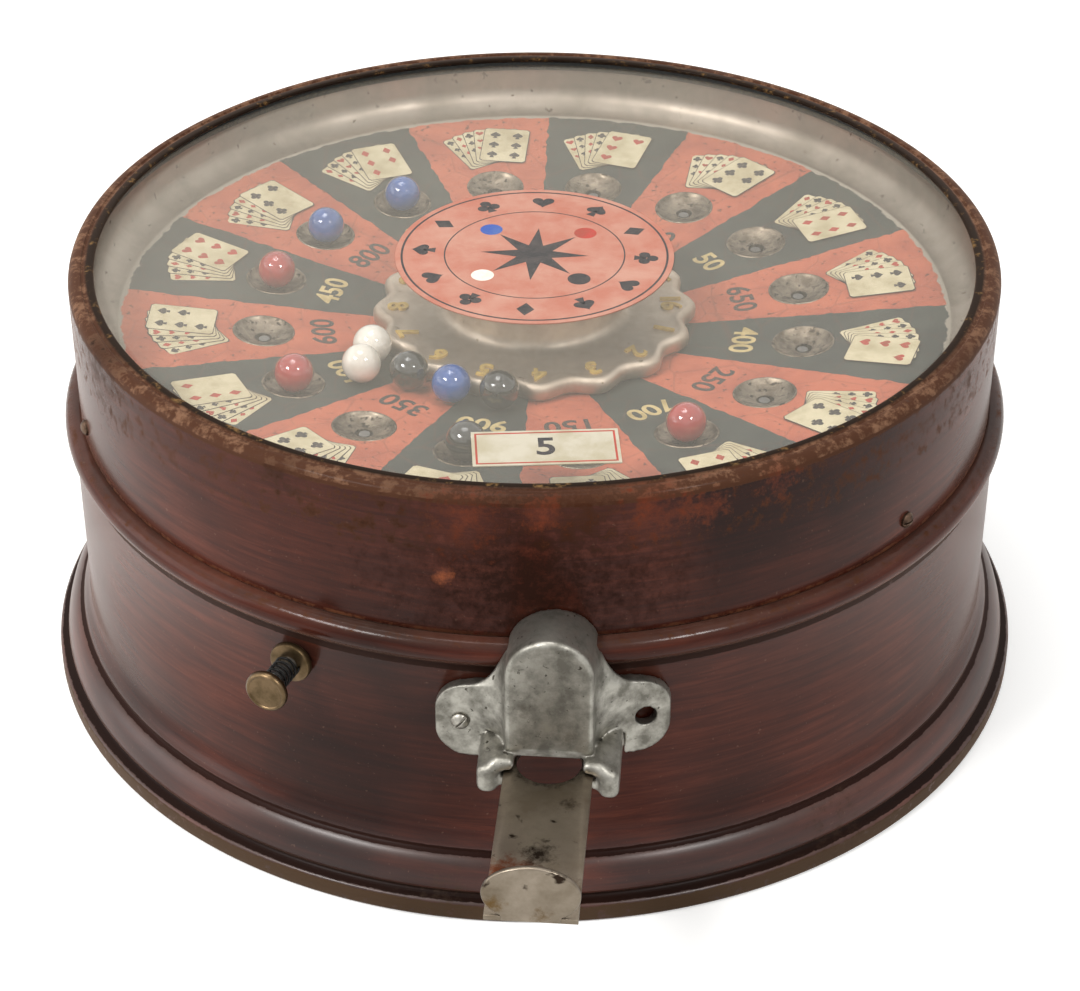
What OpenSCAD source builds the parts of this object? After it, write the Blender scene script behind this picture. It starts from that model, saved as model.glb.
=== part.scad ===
// Counter-top trade stimulator: a round sheet-steel case under a glass lid, with a
// bumper-edged spinner, sixteen marble pockets, a coin slide and a spinner plunger.
// Millimetres, +Z up, origin at the centre of the underside; the coin chute faces -Y.

/* [Case] */
// Outer radius of the drum wall
drum_r = 174; // [150:1:200]
// Thickness of the pressed steel sheet
sheet_t = 1.5; // [1:0.1:2.5]
// Height of the middle of the bead round the drum
bead_z = 105; // [100:1:115]
// Section radius of the bead
bead_section_r = 5; // [4:0.25:6]
// How far the bead stands out from the drum
bead_proud = 3; // [1.5:0.25:4]
// How far the bottom flange stands out from the drum
flange_proud = 14; // [10:0.5:20]
// Height of the bottom flange
flange_h = 7.5; // [5:0.5:8]
// Section radius of the rounded base moulding
moulding_r = 14; // [11:0.5:16]
// Section radius of the small bead on top of the base moulding
moulding_bead_r = 2; // [1:0.25:3]
// Width of the step between the base moulding and the edge of the flange
moulding_step = 3; // [2:0.25:5]
// Thickness of the bottom plate
bottom_t = 1.6; // [1:0.1:2.5]
// How far the bottom plate stays inside the edge of the flange
plate_inset = 4; // [3:0.25:6]
// Width of the inner ledge that takes the plate's screws
ledge_w = 5; // [4:0.25:7]

/* [Lid] */
// How far the lid ring's wall lies inside the drum wall
ring_inset = 3; // [2:0.5:6]
// Overall height of the machine
overall_h = 164.7; // [162:0.1:175]
// Radius of the rounded crown of the lid ring
crown_r = 4; // [3:0.25:5]
// Width of the lid ring seen from above
ring_band = 9.5; // [8:0.5:14]
// Radius of the groove in the top of the lid ring
groove_r = 0.6; // [0.3:0.1:1]
// Thickness of the lid ring's top flange
ring_top_t = 1.7; // [1.2:0.1:3]
// Thickness of the glass
glass_t = 3; // [2:0.25:5]
// Thickness of the felt gasket under the glass
gasket_t = 2.2; // [1:0.1:4]
// Radial play of the glass in the lid ring
glass_play = 1.2; // [0.5:0.1:2]
// Height of the lid screws above the bead
lid_screw_rise = 8; // [6:0.5:12]
// Shank radius of the lid screws
lid_screw_r = 1.5; // [1:0.1:2]
// Radius of the round medallion on the underside of the glass
medallion_r = 51.6; // [40:0.5:60]
// Thickness of the printed cards
card_t = 0.4; // [0.2:0.05:0.8]
// Size of the oblong card, across and front to back
price_card = [49, 21]; // [10:0.5:60]
// Distance of the oblong card's middle from the edge of the print
price_card_inset = 21.6; // [15:0.2:30]
// Turn of the oblong card, in degrees
price_card_turn = 7.5; // [-10:0.5:10]
// Sideways place of the oblong card
price_card_x = -3; // [-10:0.5:10]

/* [Playfield] */
// Drop from the top of the machine to the printed surface, carried on down to the axis
field_drop = 39.2; // [36:0.1:41]
// Slope of the printed surface, in degrees
field_slope = 6; // [4:0.25:8]
// Width of the banked rim of the pan, beyond the printed surface
bank_w = 10.9; // [8:0.1:14]
// Radius of the bare middle of the print
print_inner_r = 24; // [20:0.5:30]
// Gap between the banked rim and the neck of the case
bank_gap = 2.3; // [1.8:0.1:4]
// Height of the banked rim
bank_h = 9; // [6:0.25:11]
// Thickness of the pan
pan_t = 1; // [0.6:0.1:1.5]
// Radius of the hole in the middle of the pan
pan_hole_r = 18; // [15:0.5:20]
// Number of pockets
pockets = 16; // [8:1:16]
// Radius of the circle of pockets
pocket_circle_r = 101.5; // [95:0.5:106]
// Angle of the first pocket
pocket_start = -8.9; // [-20:0.1:20]
// Radius of the mouth of a pocket
pocket_r = 10.75; // [9:0.25:12]
// Depth of a pocket
pocket_depth = 3; // [2:0.1:4]
// Wall of a pocket cup
cup_wall = 0.8; // [0.5:0.1:1.2]
// Radius of the hole in the floor of a pocket cup
cup_hole_r = 3.2; // [3:0.1:4]

/* [Marbles] */
// Radius of a marble
marble_r = 7.15; // [6:0.05:8]

/* [Spinner] */
// Radius at the tips of the scalloped edge
rotor_r = 60.5; // [55:0.5:66]
// Depth of the scallops
scallop_depth = 4; // [3:0.25:6]
// Angle of the first hollow of the edge
rotor_start = -4.9; // [-20:0.1:20]
// Height of the edge
rotor_edge_h = 6.4; // [5:0.1:8]
// Thickness of the spinner's web
rotor_web_t = 3; // [2:0.25:4]
// Radius of the turret cap on the spinner
turret_r = 33; // [28:0.5:40]
// Height of the turret cap
turret_h = 13; // [10:0.5:14]
// Wall of the turret cap
turret_wall = 1.5; // [1:0.1:2]
// Radius of the fixed centre post
post_r = 5; // [4:0.25:6]
// Height of the post's shoulder that carries the pinion
post_shoulder_z = 83.8; // [80:0.1:86]
// Radius of the spinner's sleeve
sleeve_r = 8; // [7:0.25:9.5]

/* [Coin chute] */
// Sideways place of the chute
chute_x = 20; // [0:0.5:40]
// Height of the top of the coin slide
slide_top_z = 72; // [70:0.5:74]
// Thickness of the coin slide
slide_t = 2; // [1.5:0.1:2.5]
// Width of the coin slide
slide_w = 29.5; // [26:0.5:32]
// How far the slide's thumb tab stands out from the drum
slide_out = 90; // [80:0.5:96]
// How far the slide's inner end reaches into the drum
slide_in = 24; // [20:0.5:28]
// Diameter of the coin hole
coin_hole_d = 21.8; // [18:0.1:22]
// Distance of the middle of the coin hole from the drum
coin_hole_out = 14; // [12:0.5:18]
// Size of the thumb tab, across and upright
tab_size = [31, 22]; // [10:0.5:34]
// Distance between the two screw holes of the chute
ear_spacing = 60.6; // [54:0.2:66]
// Height of the screw holes
ear_z = 80; // [76:0.5:84]
// Width and height of the eared flange
ear_flange = [78, 29.5]; // [20:0.5:90]
// Corner radius of the ears
ear_corner_r = 11; // [6:0.5:14]
// Thickness of the flange
ear_t = 4.5; // [3:0.25:6]
// Radius of the chute's screw holes
ear_hole_r = 2.6; // [2:0.1:3.2]
// Height of the top of the hood
hood_top_z = 122.5; // [118:0.5:128]
// How far the hood's flat face stands out from the drum
hood_out = 16; // [13:0.5:20]
// Width of the hood at the flange
hood_w = 37.5; // [34:0.5:46]
// How far the hood's face is drawn in on each side
hood_draft = 4; // [2:0.25:6]
// Wall of the hood
hood_wall = 3; // [2:0.25:4]
// How far the chute's arms stand out from the drum
arm_out = 33; // [28:0.5:38]
// Width of an arm
arm_w = 7; // [5:0.5:9]
// Height of the top of the arms at the flange
arm_top_z = 78; // [76:0.5:80]

/* [Lifter] */
// How far the coin slide is pushed in
push_travel = 30; // [20:1:34]
// Rise of the lifter for each millimetre of push
lift_slope = 0.2; // [0.1:0.01:0.24]
// Drop from the printed surface at the axis to the underside of the lifter ring
lifter_drop = 13.5; // [12:0.5:17]
// Thickness of the lifter ring
lifter_t = 2.5; // [2:0.25:3]
// Width of the lifter ring
lifter_w = 33; // [28:0.5:40]
// Radius of a lifter pin
pin_r = 2; // [1.5:0.1:2.2]
// Radius of the lifter's guide posts
guide_post_r = 3; // [2.5:0.1:4]
// Wall of the lifter's bushes
bush_wall = 3; // [2:0.25:4]
// How far a bush stands out from the lifter ring, above and below
bush_over = 5; // [4:0.25:6]
// How far a guide post stands out above its bush
post_over = 4.5; // [3:0.25:5]
// Width of the lift bar
lift_bar_w = 14; // [12:0.5:16]
// How far the lifter's legs stand inside the circle of pockets, front and back
leg_inset = 6.5; // [2:0.5:10]
// Length of a leg's foot along the ramp
foot_len = 12; // [8:0.5:14]
// Lowest height of the ramps above the lift bar
ramp_min_h = 2; // [1.5:0.25:3]

/* [Plunger] */
// Angle of the plunger's line, left of the front
plunger_dir = 18.5; // [10:0.5:30]
// Height of the plunger's line
plunger_z = 89; // [87:0.5:91]
// Radius of the plunger's rod
rod_r = 3; // [2.5:0.1:3.5]
// How far the plunger is pushed in
plunger_travel = 8; // [6:0.5:8]
// Radius and thickness of the plunger's button
button = [7.5, 3]; // [2:0.25:10]
// Distance of the button's face from the drum
button_reach = 21.5; // [20:0.5:26]
// Radius and thickness of the bushing's flange
bushing_flange = [7.5, 3]; // [2:0.25:10]
// How far the bushing's flange stands off the drum, so that it clears the curve
bushing_stand = 1; // [0.8:0.1:2]
// Radius of the bushing's barrel
bushing_r = 5; // [4.5:0.1:6]
// Wire diameter of the plunger spring
spring_wire = 0.9; // [0.7:0.05:1]
// Middle diameter of the plunger spring
spring_d = 7.8; // [7.6:0.1:9]
// Turns of the plunger spring
spring_turns = 6; // [4:1:7]

/* [Drive] */
// Gear module of the rack and pinion
gear_module = 1; // [0.8:0.1:1.1]
// Teeth of the pinion
pinion_teeth = 18; // [18:1:20]
// Face width of the rack and pinion
gear_face = 8; // [6:0.5:8]
// Thinning of the teeth on each side of a tooth
backlash = 0.12; // [0.08:0.01:0.2]
// Bore radius of the freewheel cup
freewheel_r = 12; // [11:0.1:14]
// Radius of a clutch roller
roller_r = 1.6; // [1.2:0.1:1.8]
// Number of clutch rollers
rollers = 3; // [2:1:4]
// Height of the cross member's underside
member_z = 58; // [52:0.5:60]
// Width of the cross member
member_w = 30; // [26:1:40]
// Thickness of the cross member
member_t = 3; // [2:0.25:4]

/* [Fits] */
// Radial clearance of parts that turn or slide on each other
running_fit = 0.05; // [0.02:0.01:0.1]
// Gap between moving parts that pass each other
free_gap = 0.3; // [0.2:0.05:0.5]
// Clearance of parts that are put together
seat_gap = 0.1; // [0.05:0.05:0.2]

/* [Hidden] */
$fn = 96;
eps = 0.01;
far = 400;

// Case and lid heights and radii that follow from the sizes above
drum_in_r = drum_r - sheet_t;
bead_mid_r = drum_r + bead_proud - bead_section_r;
bead_top_z = bead_z + bead_section_r;
flange_r = drum_r + flange_proud;
moulding_mid_r = flange_r - moulding_r - moulding_step;
moulding_top_z = flange_h + moulding_r;
plate_r = flange_r - plate_inset;
ledge_inner_r = drum_in_r - ledge_w;
ring_r = drum_r - ring_inset;
ring_in_r = ring_r - sheet_t;
neck_r = ring_in_r - 2*seat_gap;
neck_in_r = neck_r - sheet_t;
glass_top_z = overall_h - ring_top_t - seat_gap;
glass_z = glass_top_z - glass_t;
pan_lip_z = glass_z - gasket_t;
neck_top_z = pan_lip_z - pan_t;
glass_r = ring_in_r - glass_play;
ring_open_r = ring_r - ring_band;
lid_screw_z = bead_top_z + lid_screw_rise;
lid_screw_angles = [-157, -37, 23, 143];
screw_head_r = 1.9*lid_screw_r;
screw_head_h = 1.2*lid_screw_r;
bottom_screw_r = 1.6;
bottom_screw_circle_r = (ledge_inner_r + plate_r)/2;

// The playfield is a shallow cone; a pocket stands square to it
field_z = overall_h - field_drop;
bank_r = neck_in_r - bank_gap;
print_r = bank_r - bank_w;
price_card_y = print_r - price_card_inset;
field_rise = tan(field_slope);
function field_at(r) = field_z + r*field_rise;
pocket_z = field_at(pocket_circle_r);
print_edge_z = field_at(print_r);
pan_top_drop = card_t;
cup_r = pocket_r + cup_wall;
cup_dish_r = (pocket_r*pocket_r + pow(pocket_depth - card_t, 2))/(2*(pocket_depth - card_t));
pocket_step = 360/pockets;
function pocket_angle(i) = pocket_start - pocket_step*i;
function pocket_marble_z() = marble_r - pocket_depth;
marble_rest_z = pocket_z + pocket_marble_z()*cos(field_slope);
marble_rest_r = pocket_circle_r - pocket_marble_z()*sin(field_slope);

// Spinner heights
rotor_z = field_at(rotor_r) + 2*free_gap;
rotor_top_z = rotor_z + rotor_edge_h;
rotor_mean_r = rotor_r - scallop_depth/2;
rotor_rim_w = 6;
rotor_hollow_r = rotor_r - scallop_depth - rotor_rim_w;
sleeve_flange_w = 6;
sleeve_flange_r = sleeve_r + sleeve_flange_w;
sleeve_flange_t = 2;
sleeve_top_z = rotor_top_z;
nut_z = sleeve_top_z + free_gap;
nut_wall = 3.5;
nut_r = post_r + nut_wall;
nut_h = 4;
thread_over = 1;
post_top_z = nut_z + nut_h + thread_over;
function rotor_edge_r(a) = rotor_mean_r - scallop_depth/2*cos(pockets*(a - rotor_start));

// Pinion and rack
pitch_r = gear_module*pinion_teeth/2;
thrust_gap = 0.2;
gear_z = post_shoulder_z + thrust_gap;
shoulder_r = post_r + nut_wall;
rack_back_w = 8;
rack_h = gear_face - 2*free_gap;
rod_off = pitch_r + 1.25*gear_module + rack_back_w/2;
rack_lead = plunger_travel + 2.2*gear_module*PI;
rack_tail = 2*gear_module*PI;
rod_socket = 12;
plunger_wall_y = sqrt(drum_r*drum_r - rod_off*rod_off);
collar_y = plunger_wall_y + bushing_stand;
collar_face_y = collar_y + bushing_flange[1];
barrel_len = 12;
button_face_y = plunger_wall_y + button_reach;
button_back_y = button_face_y - button[1];
hub_z = gear_z + gear_face;
hub_h = 7;
hub_gap = 0.8;
hub_r = freewheel_r - hub_gap;
roller_gap = 0.2;
roller_circle_r = freewheel_r - roller_r - roller_gap;
cup_wall_t = 3;
cup_floor_z = hub_z + hub_h + 2*free_gap;

// Coin slide and lift bar
slide_z = slide_top_z - slide_t;
slide_half_w = slide_w/2;
slide_reach = drum_r + slide_out;
slide_inner_y = drum_r - slide_in;
coin_hole_y = drum_r + coin_hole_out;
hood_face_y = drum_r + hood_out;
arm_reach = drum_r + arm_out;
lifter_z = field_z - lifter_drop;
leg_y = pocket_circle_r - leg_inset;
lift_bar_x = chute_x;
ramp_len = push_travel + foot_len + 4;
lift_travel = push_travel*lift_slope;
lift_bar_end_y = leg_y + foot_len/2 + 2;
member_top_z = member_z + member_t;
guide_post_a = pocket_start + pocket_step/2;
hood_bottom_z = slide_top_z + 2;
slot_h = slide_t + 1;
ear_screw_head_r = 1.5*ear_hole_r;
ear_screw_head_h = 0.8*ear_hole_r;

// Section of the drum, bead, neck and base, cut from solid and hollowed
module case_profile() {
    difference() {
        union() {
            square([drum_r, bead_z]);
            translate([bead_mid_r, bead_z]) circle(bead_section_r);
            square([neck_r, neck_top_z]);
            square([flange_r, flange_h]);
            translate([moulding_mid_r, flange_h]) circle(moulding_r);
            translate([drum_r + 0.5, moulding_top_z + 0.5]) circle(moulding_bead_r);
        }
        translate([0, -far]) square([far, far]);
        translate([0, -1]) square([plate_r + seat_gap, bottom_t + 1]);
        square([ledge_inner_r, far]);
        translate([0, 2*bottom_t]) square([drum_in_r, bead_z - 2*bottom_t]);
        intersection() {
            translate([moulding_mid_r, flange_h]) circle(moulding_r - sheet_t);
            translate([0, 2*bottom_t]) square([flange_r, far]);
        }
        translate([bead_mid_r, bead_z]) circle(bead_section_r - sheet_t);
        translate([0, bead_z]) square([neck_in_r, far]);
    }
}

module radial_hole(a, z, r) {
    rotate([0, 0, a]) translate([ring_r - 12, 0, z]) rotate([0, 90, 0]) cylinder(r = r, h = 30);
}

// Puts its children in the plunger's frame: the rod runs along Y, pushed in towards +Y
module on_plunger() {
    rotate([0, 0, -plunger_dir]) translate([-rod_off, 0, plunger_z]) children();
}

// A round bar along Y between two distances in front of the axis
module bar_y(r, from_y, to_y) {
    translate([0, -to_y, 0]) rotate([-90, 0, 0]) cylinder(r = r, h = to_y - from_y);
}

module tube_y(r, bore, from_y, to_y) {
    difference() {
        bar_y(r, from_y, to_y);
        bar_y(bore, from_y - 1, to_y + 1);
    }
}

module case_body() color([0.25, 0.1, 0.09]) {
    difference() {
        rotate_extrude() case_profile();
        for (a = lid_screw_angles) radial_hole(a, lid_screw_z, lid_screw_r + seat_gap);
        translate([chute_x - slide_half_w - 1, -drum_r - 5, slide_z - 1])
            cube([slide_w + 2, 12, slide_t + 2*slot_h]);
        for (s = [-1, 1]) translate([chute_x + s*ear_spacing/2, -drum_r - 5, ear_z]) rotate([-90, 0, 0])
            cylinder(r = ear_hole_r, h = 22);
        on_plunger() bar_y(bushing_r + seat_gap, drum_r - 15, drum_r + 5);
        for (i = [0:3]) rotate([0, 0, 45 + 90*i]) translate([bottom_screw_circle_r, 0, 0])
            cylinder(r = bottom_screw_r + seat_gap, h = 2*bottom_t + 1);
    }
}

module bottom_plate() color([0.35, 0.33, 0.3]) {
    difference() {
        cylinder(r = plate_r, h = bottom_t);
        for (i = [0:3]) rotate([0, 0, 45 + 90*i]) translate([bottom_screw_circle_r, 0, -1])
            cylinder(r = bottom_screw_r + seat_gap, h = bottom_t + 2);
        for (i = [0:3]) rotate([0, 0, 45 + 90*i]) translate([bottom_screw_circle_r, 0, -eps])
            cylinder(r = 2*bottom_screw_r + seat_gap, h = bottom_t/2 + eps);
    }
}

module bottom_screws() color([0.6, 0.58, 0.55]) {
    for (i = [0:3]) rotate([0, 0, 45 + 90*i]) translate([bottom_screw_circle_r, 0, 0]) {
        cylinder(r = 2*bottom_screw_r, h = bottom_t/2);
        cylinder(r = bottom_screw_r, h = 2*bottom_t + 3);
    }
}

// Section of the lid ring: a wall, a rounded crown and an inner lip
module ring_profile() {
    lip_r = ring_top_t/2;
    difference() {
        union() {
            translate([ring_in_r, bead_top_z]) square([sheet_t, overall_h - crown_r - bead_top_z]);
            intersection() {
                translate([ring_r - crown_r, overall_h - crown_r]) circle(crown_r);
                translate([0, overall_h - crown_r]) square([far, far]);
            }
            translate([ring_open_r + lip_r, overall_h - ring_top_t])
                square([ring_band - lip_r - crown_r, ring_top_t]);
            translate([ring_open_r + lip_r, overall_h - lip_r]) circle(lip_r);
        }
        translate([0, bead_z]) square([ring_in_r, overall_h - ring_top_t - bead_z]);
        translate([ring_r - crown_r - 1.2, overall_h + groove_r/3]) circle(groove_r);
    }
}

module top_ring() color([0.27, 0.1, 0.08]) {
    difference() {
        rotate_extrude() ring_profile();
        for (a = lid_screw_angles) radial_hole(a, lid_screw_z, lid_screw_r + seat_gap);
    }
}

// Slotted round-head screws, driven in through the lid ring and the neck of the case
module ring_screws() color([0.55, 0.5, 0.42]) {
    for (a = lid_screw_angles) rotate([0, 0, a]) translate([ring_r, 0, lid_screw_z]) rotate([0, 90, 0]) {
        translate([0, 0, -6]) cylinder(r = lid_screw_r, h = 6 + eps);
        difference() {
            intersection() {
                cylinder(r = screw_head_r, h = screw_head_h);
                translate([0, 0, screw_head_h - 2*screw_head_r]) sphere(2*screw_head_r);
            }
            translate([-far/2, -0.3, screw_head_h - 0.8]) cube([far, 0.6, 2]);
        }
    }
}

module glass_top() color([0.8, 0.85, 0.82, 0.4]) {
    translate([0, 0, glass_z]) cylinder(r = glass_r, h = glass_t);
}

module glass_gasket() color([0.3, 0.28, 0.25]) {
    translate([0, 0, pan_lip_z]) difference() {
        cylinder(r = glass_r, h = gasket_t);
        translate([0, 0, -1]) cylinder(r = bank_r, h = gasket_t + 2);
    }
}

module medallion() color([0.85, 0.45, 0.35]) {
    translate([0, 0, glass_z - card_t]) cylinder(r = medallion_r, h = card_t);
}

module price_card_sheet() color([0.85, 0.82, 0.7]) {
    rotate([0, 0, price_card_turn]) translate([price_card_x, -price_card_y, glass_z - card_t/2])
        cube([price_card[0], price_card[1], card_t], center = true);
}

// Puts its children in a pocket, square to the playfield
module at_pocket(i) {
    rotate([0, 0, pocket_angle(i)]) translate([pocket_circle_r, 0, pocket_z])
        rotate([0, -field_slope, 0]) children();
}

module pocket_holes(r) {
    for (i = [0:pockets - 1]) at_pocket(i) translate([0, 0, -8]) cylinder(r = r, h = 12);
}

// The banked rim runs from the printed cone to an upright wall on a quarter ellipse
bank_steps = 6;
function bank(r0, z0, w, h, up) =
    [for (i = [0:bank_steps]) let (a = 90*(up ? i : bank_steps - i)/bank_steps)
        [r0 + w*sin(a), z0 + h*(1 - cos(a))]];

module playfield_pan() color([0.6, 0.58, 0.54]) {
    z0 = print_edge_z - pan_top_drop;
    w = bank_r - print_r;
    lip_r = neck_r - seat_gap;
    difference() {
        rotate_extrude() polygon(concat(
            [[pan_hole_r, field_at(pan_hole_r) - pan_top_drop]],
            bank(print_r, z0, w, bank_h, true),
            [[bank_r, pan_lip_z], [lip_r, pan_lip_z], [lip_r, neck_top_z], [bank_r + pan_t, neck_top_z]],
            bank(print_r, z0 - pan_t, w + pan_t, bank_h + pan_t, false),
            [[pan_hole_r, field_at(pan_hole_r) - pan_top_drop - pan_t]]
        ));
        pocket_holes(cup_r + seat_gap/2);
    }
}

module playfield_print() color([0.75, 0.35, 0.22]) {
    difference() {
        rotate_extrude() polygon([
            [print_inner_r, field_at(print_inner_r) - card_t], [print_r, print_edge_z - card_t],
            [print_r, print_edge_z], [print_inner_r, field_at(print_inner_r)]
        ]);
        pocket_holes(pocket_r);
    }
}

module pocket_cups() color([0.5, 0.45, 0.38]) {
    cup_h = pocket_depth + cup_wall + 1.5;
    for (i = [0:pockets - 1]) at_pocket(i) difference() {
        translate([0, 0, -cup_h]) cylinder(r = cup_r, h = cup_h - card_t - 0.05);
        translate([0, 0, cup_dish_r - pocket_depth]) sphere(cup_dish_r);
        translate([0, 0, -cup_h - 1]) cylinder(r = cup_hole_r, h = cup_h);
    }
}

// Flat steel bar across the case, its ends bent up against the drum
module cross_member() color([0.5, 0.5, 0.5]) {
    tab_h = 16;
    difference() {
        intersection() {
            translate([-drum_r, -member_w/2, member_z]) cube([2*drum_r, member_w, member_t + tab_h]);
            translate([0, 0, member_z - 1]) cylinder(r = drum_in_r - 0.05, h = tab_h + member_t + 2);
        }
        translate([0, 0, member_top_z]) cylinder(r = drum_in_r - member_t, h = tab_h + 1);
        translate([0, 0, member_z - 1]) cylinder(r = post_r, h = member_t + 2);
        for (s = [0, 180]) rotate([0, 0, guide_post_a + s]) translate([pocket_circle_r, 0, member_z - 1])
            cylinder(r = guide_post_r, h = member_t + 2);
    }
}

module center_post() color([0.7, 0.7, 0.68]) {
    translate([0, 0, member_z - 8]) cylinder(r = post_r, h = post_top_z - member_z + 8);
    translate([0, 0, member_top_z]) cylinder(r = shoulder_r, h = post_shoulder_z - member_top_z);
}

module hex_nut(r, bore, h) {
    difference() {
        cylinder(r = r, h = h, $fn = 6);
        translate([0, 0, -1]) cylinder(r = bore, h = h + 2);
    }
}

module post_nut() color([0.6, 0.6, 0.58]) {
    translate([0, 0, member_z - 5]) hex_nut(nut_r, post_r, 5);
}

module rotor_nut() color([0.6, 0.6, 0.58]) {
    translate([0, 0, nut_z]) hex_nut(nut_r, post_r, nut_h);
}

// A box with rounded corners seen along Y, standing on its lower left corner
module rounded_box(w, h, r, t) {
    translate([0, t, 0]) rotate([90, 0, 0]) linear_extrude(t) {
        translate([r, 0]) square([w - 2*r, h]);
        translate([0, r]) square([w, h - 2*r]);
        for (x = [r, w - r], y = [r, h - r]) translate([x, y]) circle(r);
    }
}

// An arched outline in the X-Z plane with a flat foot
module arch(w, foot_z, top_z, t) {
    translate([0, t, 0]) rotate([90, 0, 0]) linear_extrude(t) {
        translate([-w/2, foot_z]) square([w, top_z - w/2 - foot_z]);
        translate([0, top_z - w/2]) circle(w/2, $fn = 32);
    }
}

module hood_shell(grow, foot_z) {
    back_y = sqrt(drum_r*drum_r - pow(chute_x + hood_w/2, 2)) - 2;
    hull() {
        translate([chute_x, -back_y - 5, 0]) arch(hood_w + 2*grow, foot_z, hood_top_z + grow, 5);
        translate([chute_x, -hood_face_y - grow + 5, 0])
            arch(hood_w + 2*grow, foot_z, hood_top_z + grow, 1);
        translate([chute_x, -hood_face_y - grow, 0])
            arch(hood_w - 2*hood_draft + 2*grow, foot_z, hood_top_z - hood_draft/2 + grow, 1);
    }
}

// Arm beside the slide: a slab with a sloping, rounded nose and a ledge under the slide's edge
module chute_arm(s) {
    inner = slide_half_w + free_gap;
    ledge = 3;
    nose_z = slide_z - 4;
    translate([chute_x, 0, 0]) mirror([s < 0 ? 1 : 0, 0, 0]) translate([inner - ledge, 0, 0])
        difference() {
            rotate([90, 0, 90]) linear_extrude(arm_w + ledge) polygon([
                [-arm_reach + 3, nose_z], [-arm_reach, nose_z + 4], [-arm_reach, arm_top_z - 5],
                [-arm_reach + 2, arm_top_z - 3], [-drum_r - 2, arm_top_z], [-drum_in_r, arm_top_z],
                [-drum_in_r, nose_z]
            ]);
            translate([-1, -far/2 - drum_r/2, slide_z - free_gap/2]) cube([ledge + 1, far/2, far]);
            translate([-1, -arm_reach - 1, nose_z - 1]) cube([ledge + 1, 8, far]);
        }
}

module chute_screw_place(s) {
    x = chute_x + s*ear_spacing/2;
    translate([x, -sqrt(pow(drum_r + ear_t, 2) - x*x), ear_z]) children();
}

// Aluminium casting: an eared flange shaped to the drum and spot-faced for its screws, a hood, two arms
module coin_chute() color([0.62, 0.61, 0.58]) {
    flange_z = ear_z - ear_flange[1]/2;
    difference() {
        union() {
            intersection() {
                translate([chute_x - ear_flange[0]/2, -drum_r - 12, flange_z])
                    rounded_box(ear_flange[0], ear_flange[1], ear_corner_r, 40);
                cylinder(r = drum_r + ear_t, h = far);
            }
            hood_shell(0, hood_bottom_z);
            for (s = [-1, 1]) chute_arm(s);
        }
        hood_shell(-hood_wall, hood_bottom_z - 1);
        translate([0, 0, -1]) cylinder(r = drum_r + seat_gap, h = bead_z - bead_section_r - 2);
        translate([0, 0, bead_z - bead_section_r - 4])
            cylinder(r = drum_r + bead_proud + free_gap, h = 2*bead_section_r + 6);
        translate([0, 0, bead_top_z]) cylinder(r = ring_r + free_gap, h = far);
        translate([chute_x - slide_half_w - free_gap, -drum_r - 30, slide_z - free_gap/2])
            cube([slide_w + 2*free_gap, 40, hood_bottom_z - slide_z + free_gap/2 + eps]);
        translate([chute_x - slide_half_w + 3, -drum_r - 30, flange_z - 1])
            cube([slide_w - 6, 40, slide_top_z - flange_z]);
        for (s = [-1, 1]) chute_screw_place(s) translate([0, -ear_t, 0]) rotate([-90, 0, 0]) {
            cylinder(r = ear_hole_r, h = 5*ear_t);
            cylinder(r = ear_screw_head_r + seat_gap, h = ear_t);
        }
    }
}

// The left ear has its screw; the right ear's hole is open
module chute_screw() color([0.6, 0.6, 0.6]) {
    chute_screw_place(-1) {
        rotate([-90, 0, 0]) cylinder(r = ear_hole_r - seat_gap, h = ear_t + sheet_t + 8);
        intersection() {
            rotate([90, 0, 0]) cylinder(r = ear_screw_head_r, h = ear_screw_head_h);
            translate([0, 2*ear_screw_head_r - ear_screw_head_h, 0]) sphere(2*ear_screw_head_r);
        }
    }
}

// Channel inside the drum that carries the inner end of the slide
module slide_support() color([0.52, 0.52, 0.5]) {
    w = slide_w + 8;
    near_y = sqrt(drum_in_r*drum_in_r - pow(chute_x + w/2, 2)) - 0.2;
    depth = 18;
    drop = 9;
    translate([chute_x - w/2, -near_y, slide_z - drop]) {
        translate([0, 0, drop - 2 - free_gap/2]) cube([w, depth, 2]);
        for (x = [0, w - 3]) translate([x, 0, drop - 2 - free_gap/2]) cube([3, depth, slide_t + 4]);
        cube([w, 2, drop - 2]);
    }
}

// Block on the cross member with a slot for the lift bar
module lift_bar_guide() color([0.55, 0.5, 0.4]) {
    w = lift_bar_w + 8;
    h = slide_top_z + 3 - member_top_z;
    difference() {
        translate([lift_bar_x - w/2, -member_w/2 + 4, member_top_z]) cube([w, member_w - 8, h]);
        translate([lift_bar_x - lift_bar_w/2 - running_fit, -member_w, slide_z - running_fit])
            cube([lift_bar_w + 2*running_fit, 2*member_w, slide_t + 2*running_fit]);
        cylinder(r = shoulder_r + free_gap, h = far);
    }
}

module guide_posts() color([0.7, 0.7, 0.68]) {
    for (s = [0, 180]) rotate([0, 0, guide_post_a + s]) translate([pocket_circle_r, 0, member_z])
        cylinder(r = guide_post_r, h = lifter_z + lifter_t + bush_over + lift_travel + post_over - member_z);
}

// Threaded brass bushing in the drum wall, its flange outside
module plunger_bushing() color([0.55, 0.46, 0.3]) {
    on_plunger() {
        tube_y(bushing_flange[0], rod_r + running_fit, collar_y, collar_face_y);
        tube_y(bushing_r, rod_r + running_fit, plunger_wall_y - barrel_len, collar_y + eps);
    }
}

module bushing_nut() color([0.55, 0.48, 0.33]) {
    on_plunger() translate([0, -plunger_wall_y + 2*sheet_t, 0]) rotate([-90, 0, 0])
        hex_nut(bushing_r + 4, bushing_r, 4);
}

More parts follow.
